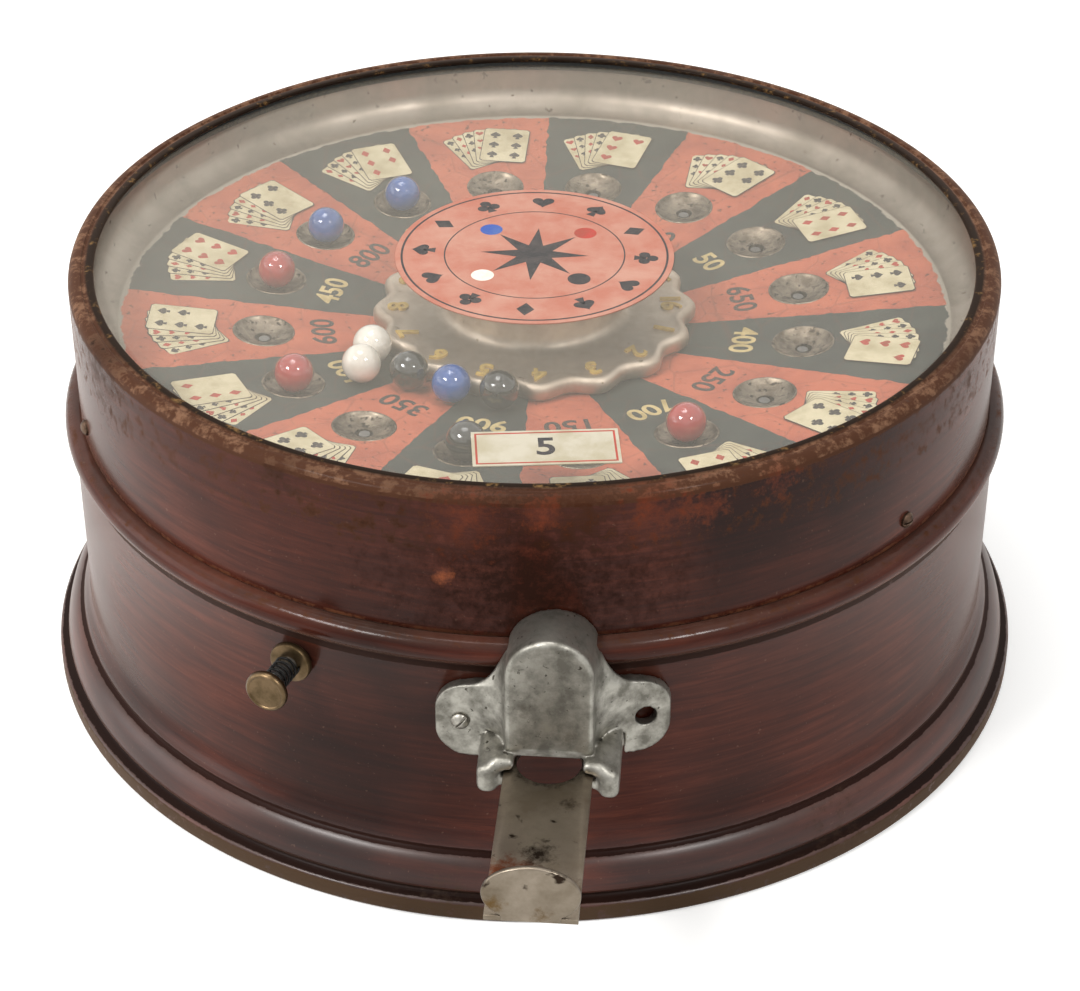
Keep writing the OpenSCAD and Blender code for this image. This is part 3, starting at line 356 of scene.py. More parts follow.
def grained_paint(name, bands, patches=(), bare_inside=0.0):
    """Combed mahogany paint, dull where worn and where shade is painted.

    Bands are (low, high, edge, amount, colour) and patches (centre, radius, amount, colour).
    """
    material, tree, shader, place = start_finish(
        name, Specular_IOR_Level=0.05, Specular_Tint=linear("#f0cdbf"), Sheen_Weight=0.2, Sheen_Roughness=0.4,
        Sheen_Tint=linear("#e6c0aa"))
    stretched = add(tree, "Mapping", {"Vector": place, "Scale": (24, 24, 380)})
    grain = add(tree, "TexNoise", {
        "Vector": stretched, "Scale": 1.0, "Detail": 7.0, "Roughness": 0.66, "Distortion": 0.5})
    comb = add(tree, "ValToRGB", {"Fac": grain}, stops=[
        (0.3, "#33130c"), (0.46, "#40190f"), (0.56, "#4a1f13"), (0.7, "#58281a"), (0.84, "#653224")])
    cloud = add(tree, "TexNoise", {"Vector": place, "Scale": 11.0, "Detail": 3.0})
    shade = add(tree, "ValToRGB", {"Fac": cloud}, stops=[(0.35, "#8c7f78"), (0.62, "#ffffff")])
    colour = add(tree, "Mix", {FACTOR: 1.0, FIRST: comb, SECOND: shade}, data_type="RGBA", blend_type="MULTIPLY")
    dust = add(tree, "TexNoise", {"Vector": place, "Scale": 700.0, "Detail": 2.0})
    specks = add(tree, "MapRange", {"Value": dust, "From Min": 0.69, "From Max": 0.78, "To Max": 0.3})
    rough = add(tree, "TexNoise", {"Vector": place, "Scale": 210.0, "Detail": 8.0, "Roughness": 0.74})
    # Faces that turn up get a pale layer: settled dust, and in part a painted sheen on the ledges of the foot, the
    # bead and the rim
    facing = add(tree, "SeparateXYZ", {"Vector": add(tree, "NewGeometry").outputs["Normal"]})
    ledge = add(tree, "MapRange", {"Value": facing.outputs["Z"], "From Min": 0.4, "From Max": 0.9, "To Max": 0.3})
    dust_and_sheen = add(tree, "Math", {0: ledge, 1: rough}, operation="MULTIPLY")
    colour = overlay(tree, colour, [(specks, "#7b5d4c"), (dust_and_sheen, "#6f5f54")])
    xyz = add(tree, "SeparateXYZ", {"Vector": place}).outputs
    masks = [(worn_band(tree, xyz["Z"], low, high, edge, rough, amount), code)
             for low, high, edge, amount, code in bands]
    masks += torn_patches(tree, place, rough, patches)
    if bare_inside:
        level = add(tree, "CombineXYZ", {"X": xyz["X"], "Y": xyz["Y"]})
        radius = add(tree, "VectorMath", {0: level}, operation="LENGTH")
        bare = add(tree, "MapRange", {
            "Value": radius, "From Min": (bare_inside + 0.5)*MM, "From Max": (bare_inside - 0.5)*MM})
        flecks = add(tree, "MapRange", {"Value": rough, "From Min": 0.56, "From Max": 0.66})
        rust = add(tree, "Math", {0: bare, 1: flecks}, operation="MULTIPLY")
        masks += [(bare, "#1b130d"), (rust, "#6e5332")]
    # The marks take in the wear and also the painted shade of bands and patches, so the varnish is dull there too
    marks = masks[0][0]
    for mask, _ in masks[1:]:
        marks = add(tree, "Math", {0: marks, 1: mask}, operation="MAXIMUM")
    gloss = add(tree, "MapRange", {"Value": marks, "To Min": 0.25, "To Max": 0.6})
    varnish = add(tree, "MapRange", {"Value": marks, "To Min": 0.24, "To Max": 0.03})
    # The moulded foot has a thicker, duller varnish than the walls
    foot = add(tree, "MapRange", {"Value": xyz["Z"], "From Min": FOOT_TOP*MM, "From Max": (FOOT_TOP - 10)*MM})
    times = add(tree, "MapRange", {"Value": foot, "To Min": 1.0, "To Max": 3.2})
    coat = add(tree, "Math", {0: varnish, 1: times}, operation="MULTIPLY")
    haze = add(tree, "MapRange", {"Value": foot, "To Min": 0.16, "To Max": 0.34})
    bump = add(tree, "Bump", {"Height": rough, "Strength": 0.12, "Distance": 0.0005})
    fill(shader, {"Base Color": overlay(tree, colour, masks), "Roughness": gloss, "Coat Weight": coat,
                  "Coat Roughness": haze, "Normal": bump})
    return material


# %% [markdown]
# ## The case and the lid ring
# The drum, its bead and its stepped base were spun from one sheet, and the lid ring slides over the
# neck above the bead. Both are swept sections here, with the small radii that a press leaves, so
# that the bead and the rim catch long highlights.

# %% Sizes of the case and lid
DRUM_R, SHEET_T = 174, 1.5
BEAD = ((172, 105), 5)
RING_R, RING_FOOT, RING_TOP, CROWN_R = 171, 109.75, 164.7, 4
RING_OPEN_R, RING_TOP_T = 161.5, 1.7
NECK_R, NECK_TOP = 169.3, 156.7

# %% Paint of the case and lid
# Of the case's bands, the second and third are painted shade in the two grooves of the foot, and the fourth makes a
# dark line just under the bead
case_paint = grained_paint("grained_paint_case", [
    (-5, 6.4, 1.6, 0.68, "#433223"), (7.6, 9.6, 0.7, 0.85, "#190b07"), (21.4, 23.0, 0.9, 0.8, "#210e09"),
    (97.6, 100.4, 0.9, 0.72, "#1f0d08"), (108.2, 109.6, 0.8, 0.5, "#4a2c1c")],
    [((-20, -186, 8), 60, 0.58, "#43352a"), ((120, -140, 8), 90, 0.56, "#3a2a20")])
rust_spots = [((x, -sqrt(RING_R*RING_R - x*x), z), reach, amount, "#66301f") for x, z, reach, amount in (
    (-9, 156, 54, 0.64), (16, 159, 26, 0.7), (52, 157, 50, 0.67), (69, 155, 34, 0.66), (91, 160, 38, 0.62))]
# The lid's first patch is a painted dark reflection over its front above the chute; the rest are rust spots and dark
# patches
lid_paint = grained_paint("grained_paint_lid", [
    (143, 170, 12, 0.5, "#442717"), (161.4, 170, 1.6, 0.74, "#452b1e"), (162.4, 170, 1.2, 0.52, "#735440"),
    (109, 111.4, 1.4, 0.54, "#5a3522")],
    [((12, -171, 134), 150, 0.8, "#220e08"), ((26, -170, 162), 90, 0.62, "#40200f")] + rust_spots + [
        ((-16, -170, 133), 10, 0.8, "#83472c"),
        ((-146, -92, 160), 66, 0.7, "#1d0d08"), ((-70, -156, 160), 52, 0.64, "#2a150d"),
        ((150, -70, 160), 60, 0.62, "#25130c")],
    bare_inside=164.6)
print("paint:", case_paint.name, lid_paint.name)

# %% Case and lid
case_section = (
    [(186.9, 0)] + arc((186.8, 1.2), 1.2, -80, 0, 4) + arc((186.4, 5.9), 1.6, 0, 80, 5)
    + [(185.2, 7.7), (184.1, 8.1), (183.7, 8.6), (183.8, 9.2), (184.3, 9.8), (184.5, 10.6), (184.2, 12.3),
       (183.3, 15.3), (181.9, 18.2), (180.3, 20.2), (178.8, 21.3), (177.8, 21.7), (177.4, 22.2), (177.5, 22.8),
       (177.3, 23.8), (176.6, 25.2), (175.6, 26.9), (174.8, 28.7), (174.3, 30.7), (174.05, 32.8), (DRUM_R, 35)]
    + [(DRUM_R, 60), (DRUM_R, 99.4)] + arc(*BEAD, -58, 100, 18)
    + [(NECK_R, 109.2), (NECK_R, NECK_TOP), (NECK_R - SHEET_T, NECK_TOP), (NECK_R - SHEET_T, 109),
       (DRUM_R - SHEET_T, 101), (DRUM_R - SHEET_T, 3.2), (167.5, 3.2), (167.5, 1.65), (184.1, 1.65), (184.1, 0)])
piece("case_shell", lathe(case_section), case_paint, "case", ["case_body"], sharp=40)

ring_section = (
    [(RING_R - 0.5, RING_FOOT), (RING_R, RING_FOOT + 0.5), (RING_R, 135)]
    + arc((RING_R - CROWN_R, RING_TOP - CROWN_R), CROWN_R, 0, 90, 12)
    + [(166.4, RING_TOP), (166.0, RING_TOP - 0.5), (165.5, RING_TOP - 0.6), (165.0, RING_TOP - 0.3),
       (164.5, RING_TOP)]
    + arc((RING_OPEN_R + RING_TOP_T/2, RING_TOP - RING_TOP_T/2), RING_TOP_T/2, 90, 270, 10)
    + [(RING_R - SHEET_T, RING_TOP - RING_TOP_T), (RING_R - SHEET_T, RING_FOOT)])
piece("lid_ring", lathe(ring_section), lid_paint, "case", ["top_ring"], sharp=40)

# %% [markdown]
# ## Metals
# Four kinds of metal show: a dull sand casting, stamped sheet with worn nickel, old brass, and
# tinned steel that has gone grey. Each has its own blotches at its own size: casting skin is grainy
# below a millimetre, tarnish clouds are some millimetres wide, and rust sits in small spots.

# %% Metal finishes
def old_metal(name, clean, dull, spot, cloud_mm, spot_mm, spot_share, roughness, grit=0.06, stains_and_shade=()):
    """A metal that goes from clean to dull in clouds, with ragged spots.

    Stains, and patches of painted shade, are (centre, radius, amount, colour), in millimetres where they lie on the
    object.
    """
    material, tree, shader, place = start_finish(name, Metallic=1.0)
    cloud = add(tree, "TexNoise", {"Vector": place, "Scale": 1000/cloud_mm, "Detail": 6.0, "Roughness": 0.62})
    skin = add(tree, "ValToRGB", {"Fac": cloud}, stops=[(0.36, dull), (0.62, clean)])
    speck = add(tree, "TexNoise", {
        "Vector": place, "Scale": 1000/spot_mm, "Detail": 4.0, "Roughness": 0.55, "Distortion": 0.3})
    mask = add(tree, "MapRange", {"Value": speck, "From Min": 0.72 - spot_share, "From Max": 0.78 - spot_share})
    ragged = add(tree, "TexNoise", {"Vector": place, "Scale": 320.0, "Detail": 6.0, "Roughness": 0.7})
    layers = [(mask, spot)] + torn_patches(tree, place, ragged, stains_and_shade)
    gloss = add(tree, "MapRange", {
        "Value": cloud, "From Min": 0.3, "From Max": 0.7, "To Min": roughness + 0.12, "To Max": roughness - 0.06})
    grain = add(tree, "TexNoise", {"Vector": place, "Scale": 1600.0, "Detail": 3.0})
    bump = add(tree, "Bump", {"Height": grain, "Strength": grit, "Distance": 0.0003})
    fill(shader, {"Base Color": overlay(tree, skin, layers), "Roughness": gloss, "Normal": bump})
    return material


# Aluminium as it came from the sand: grainy grey, darker in patches on the hood, with painted shade on the right ear
cast_aluminium = old_metal("sand_cast_aluminium", "#a4a198", "#6b6860", "#45413a", 7, 2.2, 0.07, 0.42, 0.2, [
    ((12, -190, 96), 13, 0.75, "#68645c"), ((27, -190, 84), 12, 0.7, "#6c6860"),
    ((20, -184, 117), 9, 0.7, "#6f6b63"), ((51, -172, 80), 17, 0.75, "#716d65")])
# Nickel plate: warm grey, rusty by the tab, with a black patch of painted shade round the coin hole where the hood
# overhangs it
worn_nickel = old_metal("worn_nickel_plate", "#8c8173", "#6a5f50", "#2b211a", 20, 8, 0.09, 0.34, 0.05, [
    ((11, -246, 72), 26, 0.95, "#74452f"), ((20, -234, 72), 16, 0.85, "#2a211a"),
    ((28, -209, 72), 11, 0.75, "#33281f"), ((31, -250, 72), 16, 0.8, "#4a3628"), ((20, -188, 72), 20, 1.5, "#1d1712"),
    ((8, -264, 77), 11, 0.8, "#5f4a2c"), ((24, -264, 73), 11, 0.75, "#5a462a")])
# Brass gone brown; tin gone dull; cups that are nearly black in blotches; pale buffed zinc
aged_brass = old_metal("aged_brass", "#6d5a43", "#4d3f2a", "#332818", 6, 2.5, 0.04, 0.36)
tinned_steel = old_metal("tinned_steel", "#a89c8e", "#8b8072", "#5f4d3c", 30, 4, 0.07, 0.45)
tarnished_cup = old_metal("tarnished_cup_steel", "#8f8271", "#54493c", "#2e251d", 5, 2.4, 0.14, 0.4)
cast_spinner = old_metal("buffed_zinc_casting", "#cbbcaa", "#b0a08e", "#806f58", 18, 4, 0.04, 0.52, 0.08)
# Steels: plain for the works, bright and rusty for screws, and blackened wire for the spring
bare_steel = old_metal("mill_steel", "#8f8e8b", "#6c6a67", "#544336", 20, 5, 0.05, 0.42)
screw_steel = old_metal("screw_steel", "#a7a39a", "#77726a", "#4f3c2c", 4, 1.6, 0.05, 0.34)
rusty_screw = old_metal("rusty_screw_steel", "#6b5748", "#43332a", "#2c1d15", 3, 1.4, 0.08, 0.45)
spring_steel = old_metal("blackened_spring_wire", "#2b2a29", "#161616", "#0d0c0c", 3, 1.5, 0.04, 0.4)
print("metals:", sum("steel" in m.name or "brass" in m.name for m in bpy.data.materials))

# %% [markdown]
# ## The coin chute
# The chute is one sand casting: an eared flange bent to the drum, a hood with a bevelled flat face
# that hides the coin, and two lugs that guide the slide. Its corners are all blends, so it is cast
# from a distance field. Each simple form is added with its own fillet, and the bores come last.

# %% Chute casting
CHUTE_X, EAR_Z, EAR_HALF = 20, 80, 30.3
HOOD_FACE, HOOD_TOP, HOOD_FOOT = 190, 122, 74
HOOD_HALF, FACE_HALF, HOOD_FLARE = 15.1, 14.6, 8.6
FINGER_X, SLOT_Y = 20.2, 190
SLIDE_TOP, SLIDE_W = 72, 29.5


def chute_field(x, y, z):
    """Distance to the casting; x is from its middle, y is out from the axis."""
    radius = np.hypot(x + CHUTE_X, y)
    stand = radius - DRUM_R
    side = np.abs(x)
    q = np.stack([side - 28, np.abs(z - EAR_Z) - 3.6])
    ear = np.hypot(np.maximum(q[0], 0), np.maximum(q[1], 0)) + np.minimum(np.maximum(q[0], q[1]), 0) - 11
    ear = np.maximum(ear, np.abs(stand - 2) - 2.5)
    deep = np.clip((16 - stand)/11.5, 0, 1)
    crown = FACE_HALF + (HOOD_HALF - FACE_HALF)*deep
    flare = np.clip(0.47*(HOOD_TOP - 12 - z), 0, HOOD_FLARE)*np.clip((z - HOOD_FOOT)/12, 0, 1)
    dome_z = HOOD_TOP - crown
    arch = np.where(z > dome_z, np.hypot(x, z - dome_z), side) - crown - flare*deep**2.2
    arch = arch + 0.9*np.clip(y - HOOD_FACE + 1, 0, 1)
    lip = HOOD_FACE - 0.45*np.maximum(78.5 - z, 0)
    hood = np.maximum(np.maximum(arch, y - lip), HOOD_FOOT - z)
    body = blend(ear, hood, 9)
    notch = np.hypot(side - FINGER_X, np.maximum(z - 73.4, 0)) - 3.7
    body = np.maximum(body, -np.maximum(notch, 0.6 - stand))
    slope = z - 71.7 + 0.13*(y - 178)
    finger = block(side - FINGER_X, y - 184, slope, (3.4, 12.8, 5.1), 2.6)
    lug = block(side - 15, y - 188, z - 74.5, (3.6, 6.6, 2.2), 1.9)
    body = np.minimum(body, blend(finger, lug, 4))
    under = block(side - 17.5, y - 183, z - 67.8, (3.4, 11, 1.9), 1.2)
    body = blend(body, under, 2)
    slot = block(x, y - SLOT_Y, z - 71.2, (SLIDE_W/2 + 0.3, 60, 1.35), 0.2)
    mouth = block(x, y - SLOT_Y, z - 66, (SLIDE_W/2 - 3, 60, 7.7), 0.5)
    drum = radius - np.where(z < 96, DRUM_R + 0.1, np.where(z < 111, DRUM_R + 3.4, RING_R + 0.4))
    around = [radius*(np.arctan2(x + CHUTE_X, y) - asin((CHUTE_X + e)/(DRUM_R + 4.5)))
              for e in (-EAR_HALF, EAR_HALF + 0.8)]
    holes = np.minimum(np.hypot(around[0], z - EAR_Z) - 2.4, np.hypot(around[1], z - EAR_Z) - 3.7)
    for cut in (slot, mouth, drum, holes):
        body = np.maximum(body, -cut)
    return body


casting = cast(chute_field, (-41, 160, 60), (41, 210, 126), 0.6)
bmesh.ops.transform(casting, matrix=Matrix(((1, 0, 0, CHUTE_X), (0, -1, 0, 0), (0, 0, 1, 0), (0, 0, 0, 1))),
                    verts=casting.verts)
bmesh.ops.reverse_faces(casting, faces=casting.faces)
piece("chute_casting", casting, cast_aluminium, "case", ["coin_chute"], sharp=180)

# %% [markdown]
# ## The coin slide
# A strip of nickelled steel with a coin hole, its end cut to an oval and bent up for the thumb.
# A filled outline with a small bevel gives the sheared edges of both parts.

# %% Slide
SLIDE_T, SLIDE_TIP, SLIDE_END, HOLE_Y, HOLE_R = 2, 264, 150, 188, 10.9
TAB_W, TAB_H = 31, 22


def round_outline(rx, ry, steps, cx=0.0, cy=0.0):
    """Points of an ellipse about a centre."""
    return [(cx + rx*cos(2*pi*i/steps), cy + ry*sin(2*pi*i/steps)) for i in range(steps)]


half = SLIDE_W/2
strip = plate([[(-half, -SLIDE_TIP + 0.4), (half, -SLIDE_TIP + 0.4), (half, -SLIDE_END), (-half, -SLIDE_END)],
               round_outline(HOLE_R, HOLE_R, 64, 0, -HOLE_Y)], SLIDE_T, 0.25)
tab = plate([[(TAB_W/2*cos(a), TAB_H/2*(1 + sin(a))) for a in
              [radians(-52 + 284*i/60) for i in range(61)]] + [(-9.3, 0.2), (9.3, 0.2)]], SLIDE_T, 0.6)
upright = (Matrix.Translation((CHUTE_X, -SLIDE_TIP + SLIDE_T, SLIDE_TOP - SLIDE_T)) @ Matrix.Rotation(pi/2, 4, "X"))
flat = Matrix.Translation((CHUTE_X, 0, SLIDE_TOP - SLIDE_T))
piece("slide_strip", gather([(strip, flat), (tab, upright)]), worn_nickel, "coin_slide",
      ["coin_slide"])

# %% [markdown]
# ## The plunger
# A brass button on a rod, held out by a spring against a flanged bushing. The button and bushing
# are turned. The spring follows a path, so a Geometry Nodes tree sweeps a wire along a spiral.

# %% Plunger frame
PLUNGER_TURN = radians(-18.5)
ROD_OFF, PLUNGER_Z = 14.25, 89
WALL_Y = sqrt(DRUM_R**2 - ROD_OFF**2)
on_plunger = (Matrix.Rotation(PLUNGER_TURN, 4, "Z") @ Matrix.Translation((-ROD_OFF, -WALL_Y, PLUNGER_Z))
              @ Matrix.Rotation(pi/2, 4, "X"))
COLLAR_FACE, BUTTON_BACK, BUTTON_FACE = 4, 18.5, 21.5

button = lathe([(0, BUTTON_FACE - 0.35), (5.9, BUTTON_FACE - 0.35), (6.2, BUTTON_FACE - 0.05), (6.7, BUTTON_FACE),
                (7.2, BUTTON_FACE - 0.35), (7.5, BUTTON_FACE - 1), (7.5, BUTTON_BACK + 0.7), (7.1, BUTTON_BACK + 0.1),
                (6.6, BUTTON_BACK), (0, BUTTON_BACK)], 96)
piece("plunger_knob", gather([(button, on_plunger)]), aged_brass, "plunger", ["plunger_button"])
bush = lathe([(3.05, COLLAR_FACE), (6.6, COLLAR_FACE), (7.2, COLLAR_FACE - 0.3), (7.5, COLLAR_FACE - 0.9),
              (7.5, 1.7), (7.0, 1.1), (5, 1), (5, -12), (3.05, -12)], 96)
piece("plunger_bush", gather([(bush, on_plunger)]), aged_brass, "case", ["plunger_bushing"])

# %% How a tree starts and ends
def start_tree(name, inputs):
    """A new Geometry Nodes tree with named inputs: the tree, their identifiers and their sockets inside."""
    tree = bpy.data.node_groups.new(name, "GeometryNodeTree")
    sockets = {}
    for label, kind in inputs.items():
        socket = tree.interface.new_socket(label, in_out="INPUT", socket_type="NodeSocket" + kind)
        sockets[label] = socket.identifier
    tree.interface.new_socket("Geometry", in_out="OUTPUT", socket_type="NodeSocketGeometry")
    return tree, sockets, add(tree, "NodeGroupInput").outputs


def end_tree(tree, geometry, finish):
    """Makes the instances of a tree real and gives them their finish."""
    real = add(tree, "GeometryNodeRealizeInstances", {"Geometry": geometry})
    dressed = add(tree, "GeometryNodeSetMaterial", {"Geometry": real, "Material": finish})
    add(tree, "NodeGroupOutput", {"Geometry": dressed})


# %% Spring tree
WIRE, COIL_D, TURNS = 0.9, 7.8, 6
spring_tree, spring_sockets, given = start_tree("coil_spring", {
    "Turns": "Float", "Coil radius": "Float", "Length": "Float", "Wire radius": "Float", "Finish": "Material"})
spiral = add(spring_tree, "GeometryNodeCurveSpiral", {
    "Resolution": 32, "Rotations": given["Turns"], "Start Radius": given["Coil radius"],
    "End Radius": given["Coil radius"], "Height": given["Length"]})
wire = add(spring_tree, "GeometryNodeCurvePrimitiveCircle", {"Resolution": 10, "Radius": given["Wire radius"]})
swept = add(spring_tree, "GeometryNodeCurveToMesh", {"Curve": spiral, "Profile Curve": wire, "Fill Caps": True})
end_tree(spring_tree, swept, given["Finish"])


# %% A tree's result as a plain mesh
def grown(tree, sockets, values, base=None):
    """Runs a Geometry Nodes tree once and returns what it grew as a mesh in millimetres."""
    obj = in_scene("seed", base or bpy.data.meshes.new("seed"))
    modifier = obj.modifiers.new("grow", "NODES")
    modifier.node_group = tree
    for label, value in values.items():
        modifier[sockets[label]] = value
    return worked_out(obj)


def loose(name, bm):
    """An object outside the scene, for a tree to set on points."""
    mesh = bpy.data.meshes.new(name)
    bm.to_mesh(mesh)
    bm.free()
    return bpy.data.objects.new(name, mesh)


# %% Spring
coil = grown(spring_tree, spring_sockets, {
    "Turns": float(TURNS), "Coil radius": COIL_D/2, "Length": BUTTON_BACK - COLLAR_FACE - WIRE - 0.1,
    "Wire radius": WIRE/2, "Finish": spring_steel})
lifted = on_plunger @ Matrix.Translation((0, 0, COLLAR_FACE + WIRE/2 + 0.05))
spring = piece("plunger_coil", gather([(coil, lifted)]), spring_steel, "case", ["plunger_spring"], 60)
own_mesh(spring)

# %% [markdown]
# ## Screws
# Slotted round-head screws hold the lid ring, and one holds the chute. One head is cast once, and a
# Geometry Nodes tree sets it on points that carry their own facing and size.

# %% One slotted head
def head_field(x, y, z):
    """Distance to a domed head of radius 1 with a slot across it."""
    dome = np.maximum(np.sqrt(x*x + y*y + (z + 0.62)**2) - 1.22, np.hypot(x, y) - 1)
    return np.maximum(np.maximum(dome, -z - 0.3), -np.maximum(np.abs(x) - 0.13, 0.12 - z))


head_object = loose("screw_head", cast(head_field, (-1.2, -1.2, -0.5), (1.2, 1.2, 0.8), 0.045, 1))

# %% Screws on points
screw_tree, screw_sockets, given = start_tree("screws_on_points", {
    "Geometry": "Geometry", "Head": "Object", "Finish": "Material"})
shape = add(screw_tree, "GeometryNodeObjectInfo", {"Object": given["Head"]})
facing = add(screw_tree, "GeometryNodeInputNamedAttribute", {"Name": "facing"}, data_type="FLOAT_VECTOR")
size = add(screw_tree, "GeometryNodeInputNamedAttribute", {"Name": "size"}, data_type="FLOAT")
turned = add(screw_tree, "FunctionNodeEulerToRotation", {"Euler": facing.outputs["Attribute"]})
set_on = add(screw_tree, "GeometryNodeInstanceOnPoints", {
    "Points": given["Geometry"], "Instance": shape.outputs["Geometry"], "Rotation": turned,
    "Scale": size.outputs["Attribute"]})
end_tree(screw_tree, set_on, given["Finish"])


def screws(places, finish):
    """Screw heads at (place, facing direction, slot turn, head radius)."""
    base = bpy.data.meshes.new("screw_points")
    base.from_pydata([p for p, _, _, _ in places], [], [])
    turns = [(way.to_track_quat("Z", "Y").to_matrix() @ Matrix.Rotation(turn, 3, "Z")).to_euler()
             for _, way, turn, _ in places]
    facing = base.attributes.new("facing", "FLOAT_VECTOR", "POINT")
    facing.data.foreach_set("vector", [v for euler in turns for v in euler])
    sizes = base.attributes.new("size", "FLOAT", "POINT")
    sizes.data.foreach_set("value", [r for _, _, _, r in places])
    return grown(screw_tree, screw_sockets, {"Head": head_object, "Finish": finish}, base)


LID_SCREW_Z, LID_SCREW_ANGLES = 118, (-157, -37, 23, 143)
LID_HEAD_R, EAR_HEAD_R = 2.9, 3.1
ways = [Vector((cos(radians(a)), sin(radians(a)), 0)) for a in LID_SCREW_ANGLES]
lid_screws = screws([(w*(RING_R + 0.5) + Vector((0, 0, LID_SCREW_Z)), w, 0.7 + i, LID_HEAD_R)
                     for i, w in enumerate(ways)], rusty_screw)
piece("lid_screws", lid_screws, rusty_screw, "case", ["ring_screws"], 50)
ear_x = CHUTE_X - EAR_HALF
ear_way = Vector((ear_x, -sqrt(DRUM_R**2 - ear_x**2), 0)).normalized()
ear_screw = screws([(ear_way*(DRUM_R + 5) + Vector((0, 0, EAR_Z)), ear_way, 2.4, EAR_HEAD_R)], screw_steel)
piece("ear_screw", ear_screw, screw_steel, "case", ["chute_screw"], 50)

# %% [markdown]
# ## The playfield pan and its print
# A shallow tinned dish with a banked rim carries a printed sheet: sixteen wedges, orange and black
# in turn, each with a pocket, a number and a fan of cards. The wedges follow the angle about the
# axis, so the sheet's finish works them out from Object coordinates. It is old paper: the orange is
# flecked and cracked, and the edge has gone ragged.

# %% Pan
FIELD_Z, SLOPE = 125.5, radians(6)
PRINT_R, BANK_R, BANK_H, CARD_T, PAN_T = 154.6, 165.5, 9, 0.4, 1
PAN_LIP_Z = 157.7
POCKETS, POCKET_R, POCKET_CIRCLE, POCKET_START, POCKET_DEPTH = 16, 10.75, 101.5, -8.9, 3
STEP = 360/POCKETS


def field_at(r):
    """Height of the sloping sheet at a radius."""
    return FIELD_Z + r*tan(SLOPE)


foot_z = field_at(PRINT_R) - CARD_T
bank_out = [(PRINT_R + (BANK_R - PRINT_R)*sin(radians(a)), foot_z + BANK_H*(1 - cos(radians(a))))
            for a in range(0, 91, 6)]
RINGS = (18, 89.5, 113.5)


def floor_line(r0, r1, drop):
    """Two points of a section that lies under the sheet."""
    return [(r0, field_at(r0) - drop), (r1, field_at(r1) - drop)]


inner_ring = lathe(floor_line(RINGS[0], RINGS[1], CARD_T) + floor_line(RINGS[1], RINGS[0], CARD_T + PAN_T))
pan_section = ([(RINGS[2], field_at(RINGS[2]) - CARD_T)] + bank_out + [(BANK_R, PAN_LIP_Z), (169.2, PAN_LIP_Z),
               (169.2, PAN_LIP_Z - PAN_T), (BANK_R + PAN_T, PAN_LIP_Z - PAN_T)]
               + [(r + PAN_T*0.8, z - PAN_T*0.8) for r, z in reversed(bank_out)]
               + [(RINGS[2], field_at(RINGS[2]) - CARD_T - PAN_T)])
pan = gather([(inner_ring, Matrix.Identity(4)), (lathe(pan_section), Matrix.Identity(4))])
piece("pan_rings", pan, tinned_steel, "case", ["playfield_pan"], 40)

# %% Printed wedges
# The wobble of the edges in radians, and the part of a wedge that evens out its mean
WOBBLE, EVEN = 0.03, 0.038


def wedge_print():
    """Orange and black wedges by their angle, flecked, cracked, and ragged at the outer edge."""
    material, tree, shader, place = start_finish("letterpress_print_on_paper", Roughness=0.75)
    xyz = add(tree, "SeparateXYZ", {"Vector": place}).outputs
    angle = add(tree, "Math", {0: xyz["Y"], 1: xyz["X"]}, operation="ARCTAN2")
    wobble = add(tree, "TexNoise", {"Vector": place, "Scale": 160.0, "Detail": 4.0})
    nudge = add(tree, "Math", {0: wobble, 1: WOBBLE, 2: angle}, operation="MULTIPLY_ADD")
    turns = add(tree, "Math", {0: nudge, 1: -1/radians(STEP), 2: POCKET_START/STEP + 0.5 + EVEN},
                operation="MULTIPLY_ADD")
    whole = add(tree, "Math", {0: turns}, operation="FLOOR")
    odd = add(tree, "Math", {0: whole, 1: 2.0}, operation="FLOORED_MODULO")
    cloud = add(tree, "TexNoise", {"Vector": place, "Scale": 55.0, "Detail": 5.0, "Roughness": 0.6})
    black = add(tree, "ValToRGB", {"Fac": cloud}, stops=[(0.35, "#272b27"), (0.62, "#383c35")])
    orange = add(tree, "ValToRGB", {"Fac": cloud}, stops=[(0.35, "#a8523a"), (0.6, "#bf6446")])
    wedges = add(tree, "Mix", {FACTOR: odd, FIRST: black, SECOND: orange}, data_type="RGBA")
    speck = add(tree, "TexNoise", {"Vector": place, "Scale": 420.0, "Detail": 3.0, "Roughness": 0.6})
    flecks = add(tree, "MapRange", {"Value": speck, "From Min": 0.61, "From Max": 0.69, "To Max": 0.75})
    crack = add(tree, "TexVoronoi", {"Vector": place, "Scale": 45.0}, feature="DISTANCE_TO_EDGE")
    thin = add(tree, "MapRange", {"Value": crack, "From Max": 0.02, "To Min": 0.35, "To Max": 0.0})
    out = add(tree, "VectorMath", {0: place, 1: (1, 1, 0)}, operation="MULTIPLY")
    radius = add(tree, "VectorMath", {0: out}, operation="LENGTH")
    ragged = add(tree, "Math", {0: wobble, 1: 0.005, 2: radius}, operation="MULTIPLY_ADD")
    edge = add(tree, "MapRange", {"Value": ragged, "From Min": 0.1552, "From Max": 0.1558})
    marks = [(flecks, "#3c2019"), (thin, "#5d3a2c"), (edge, "#9c9384")]
    bump = add(tree, "Bump", {"Height": cloud, "Strength": 0.15, "Distance": 0.0008})
    fill(shader, {"Base Color": overlay(tree, wedges, marks), "Normal": bump})
    return material


dress("playfield_print", wedge_print())
print("print: wedges on playfield_print")

# %% [markdown]
# ## Cards and numbers on the print
# Each wedge has a fan of five small cards outside its pocket and a plain number inside it. They are
# flat shapes a tenth of a millimetre thick, laid on the sloping sheet. The pips are the common four
# suits, drawn from circles and a heart curve.

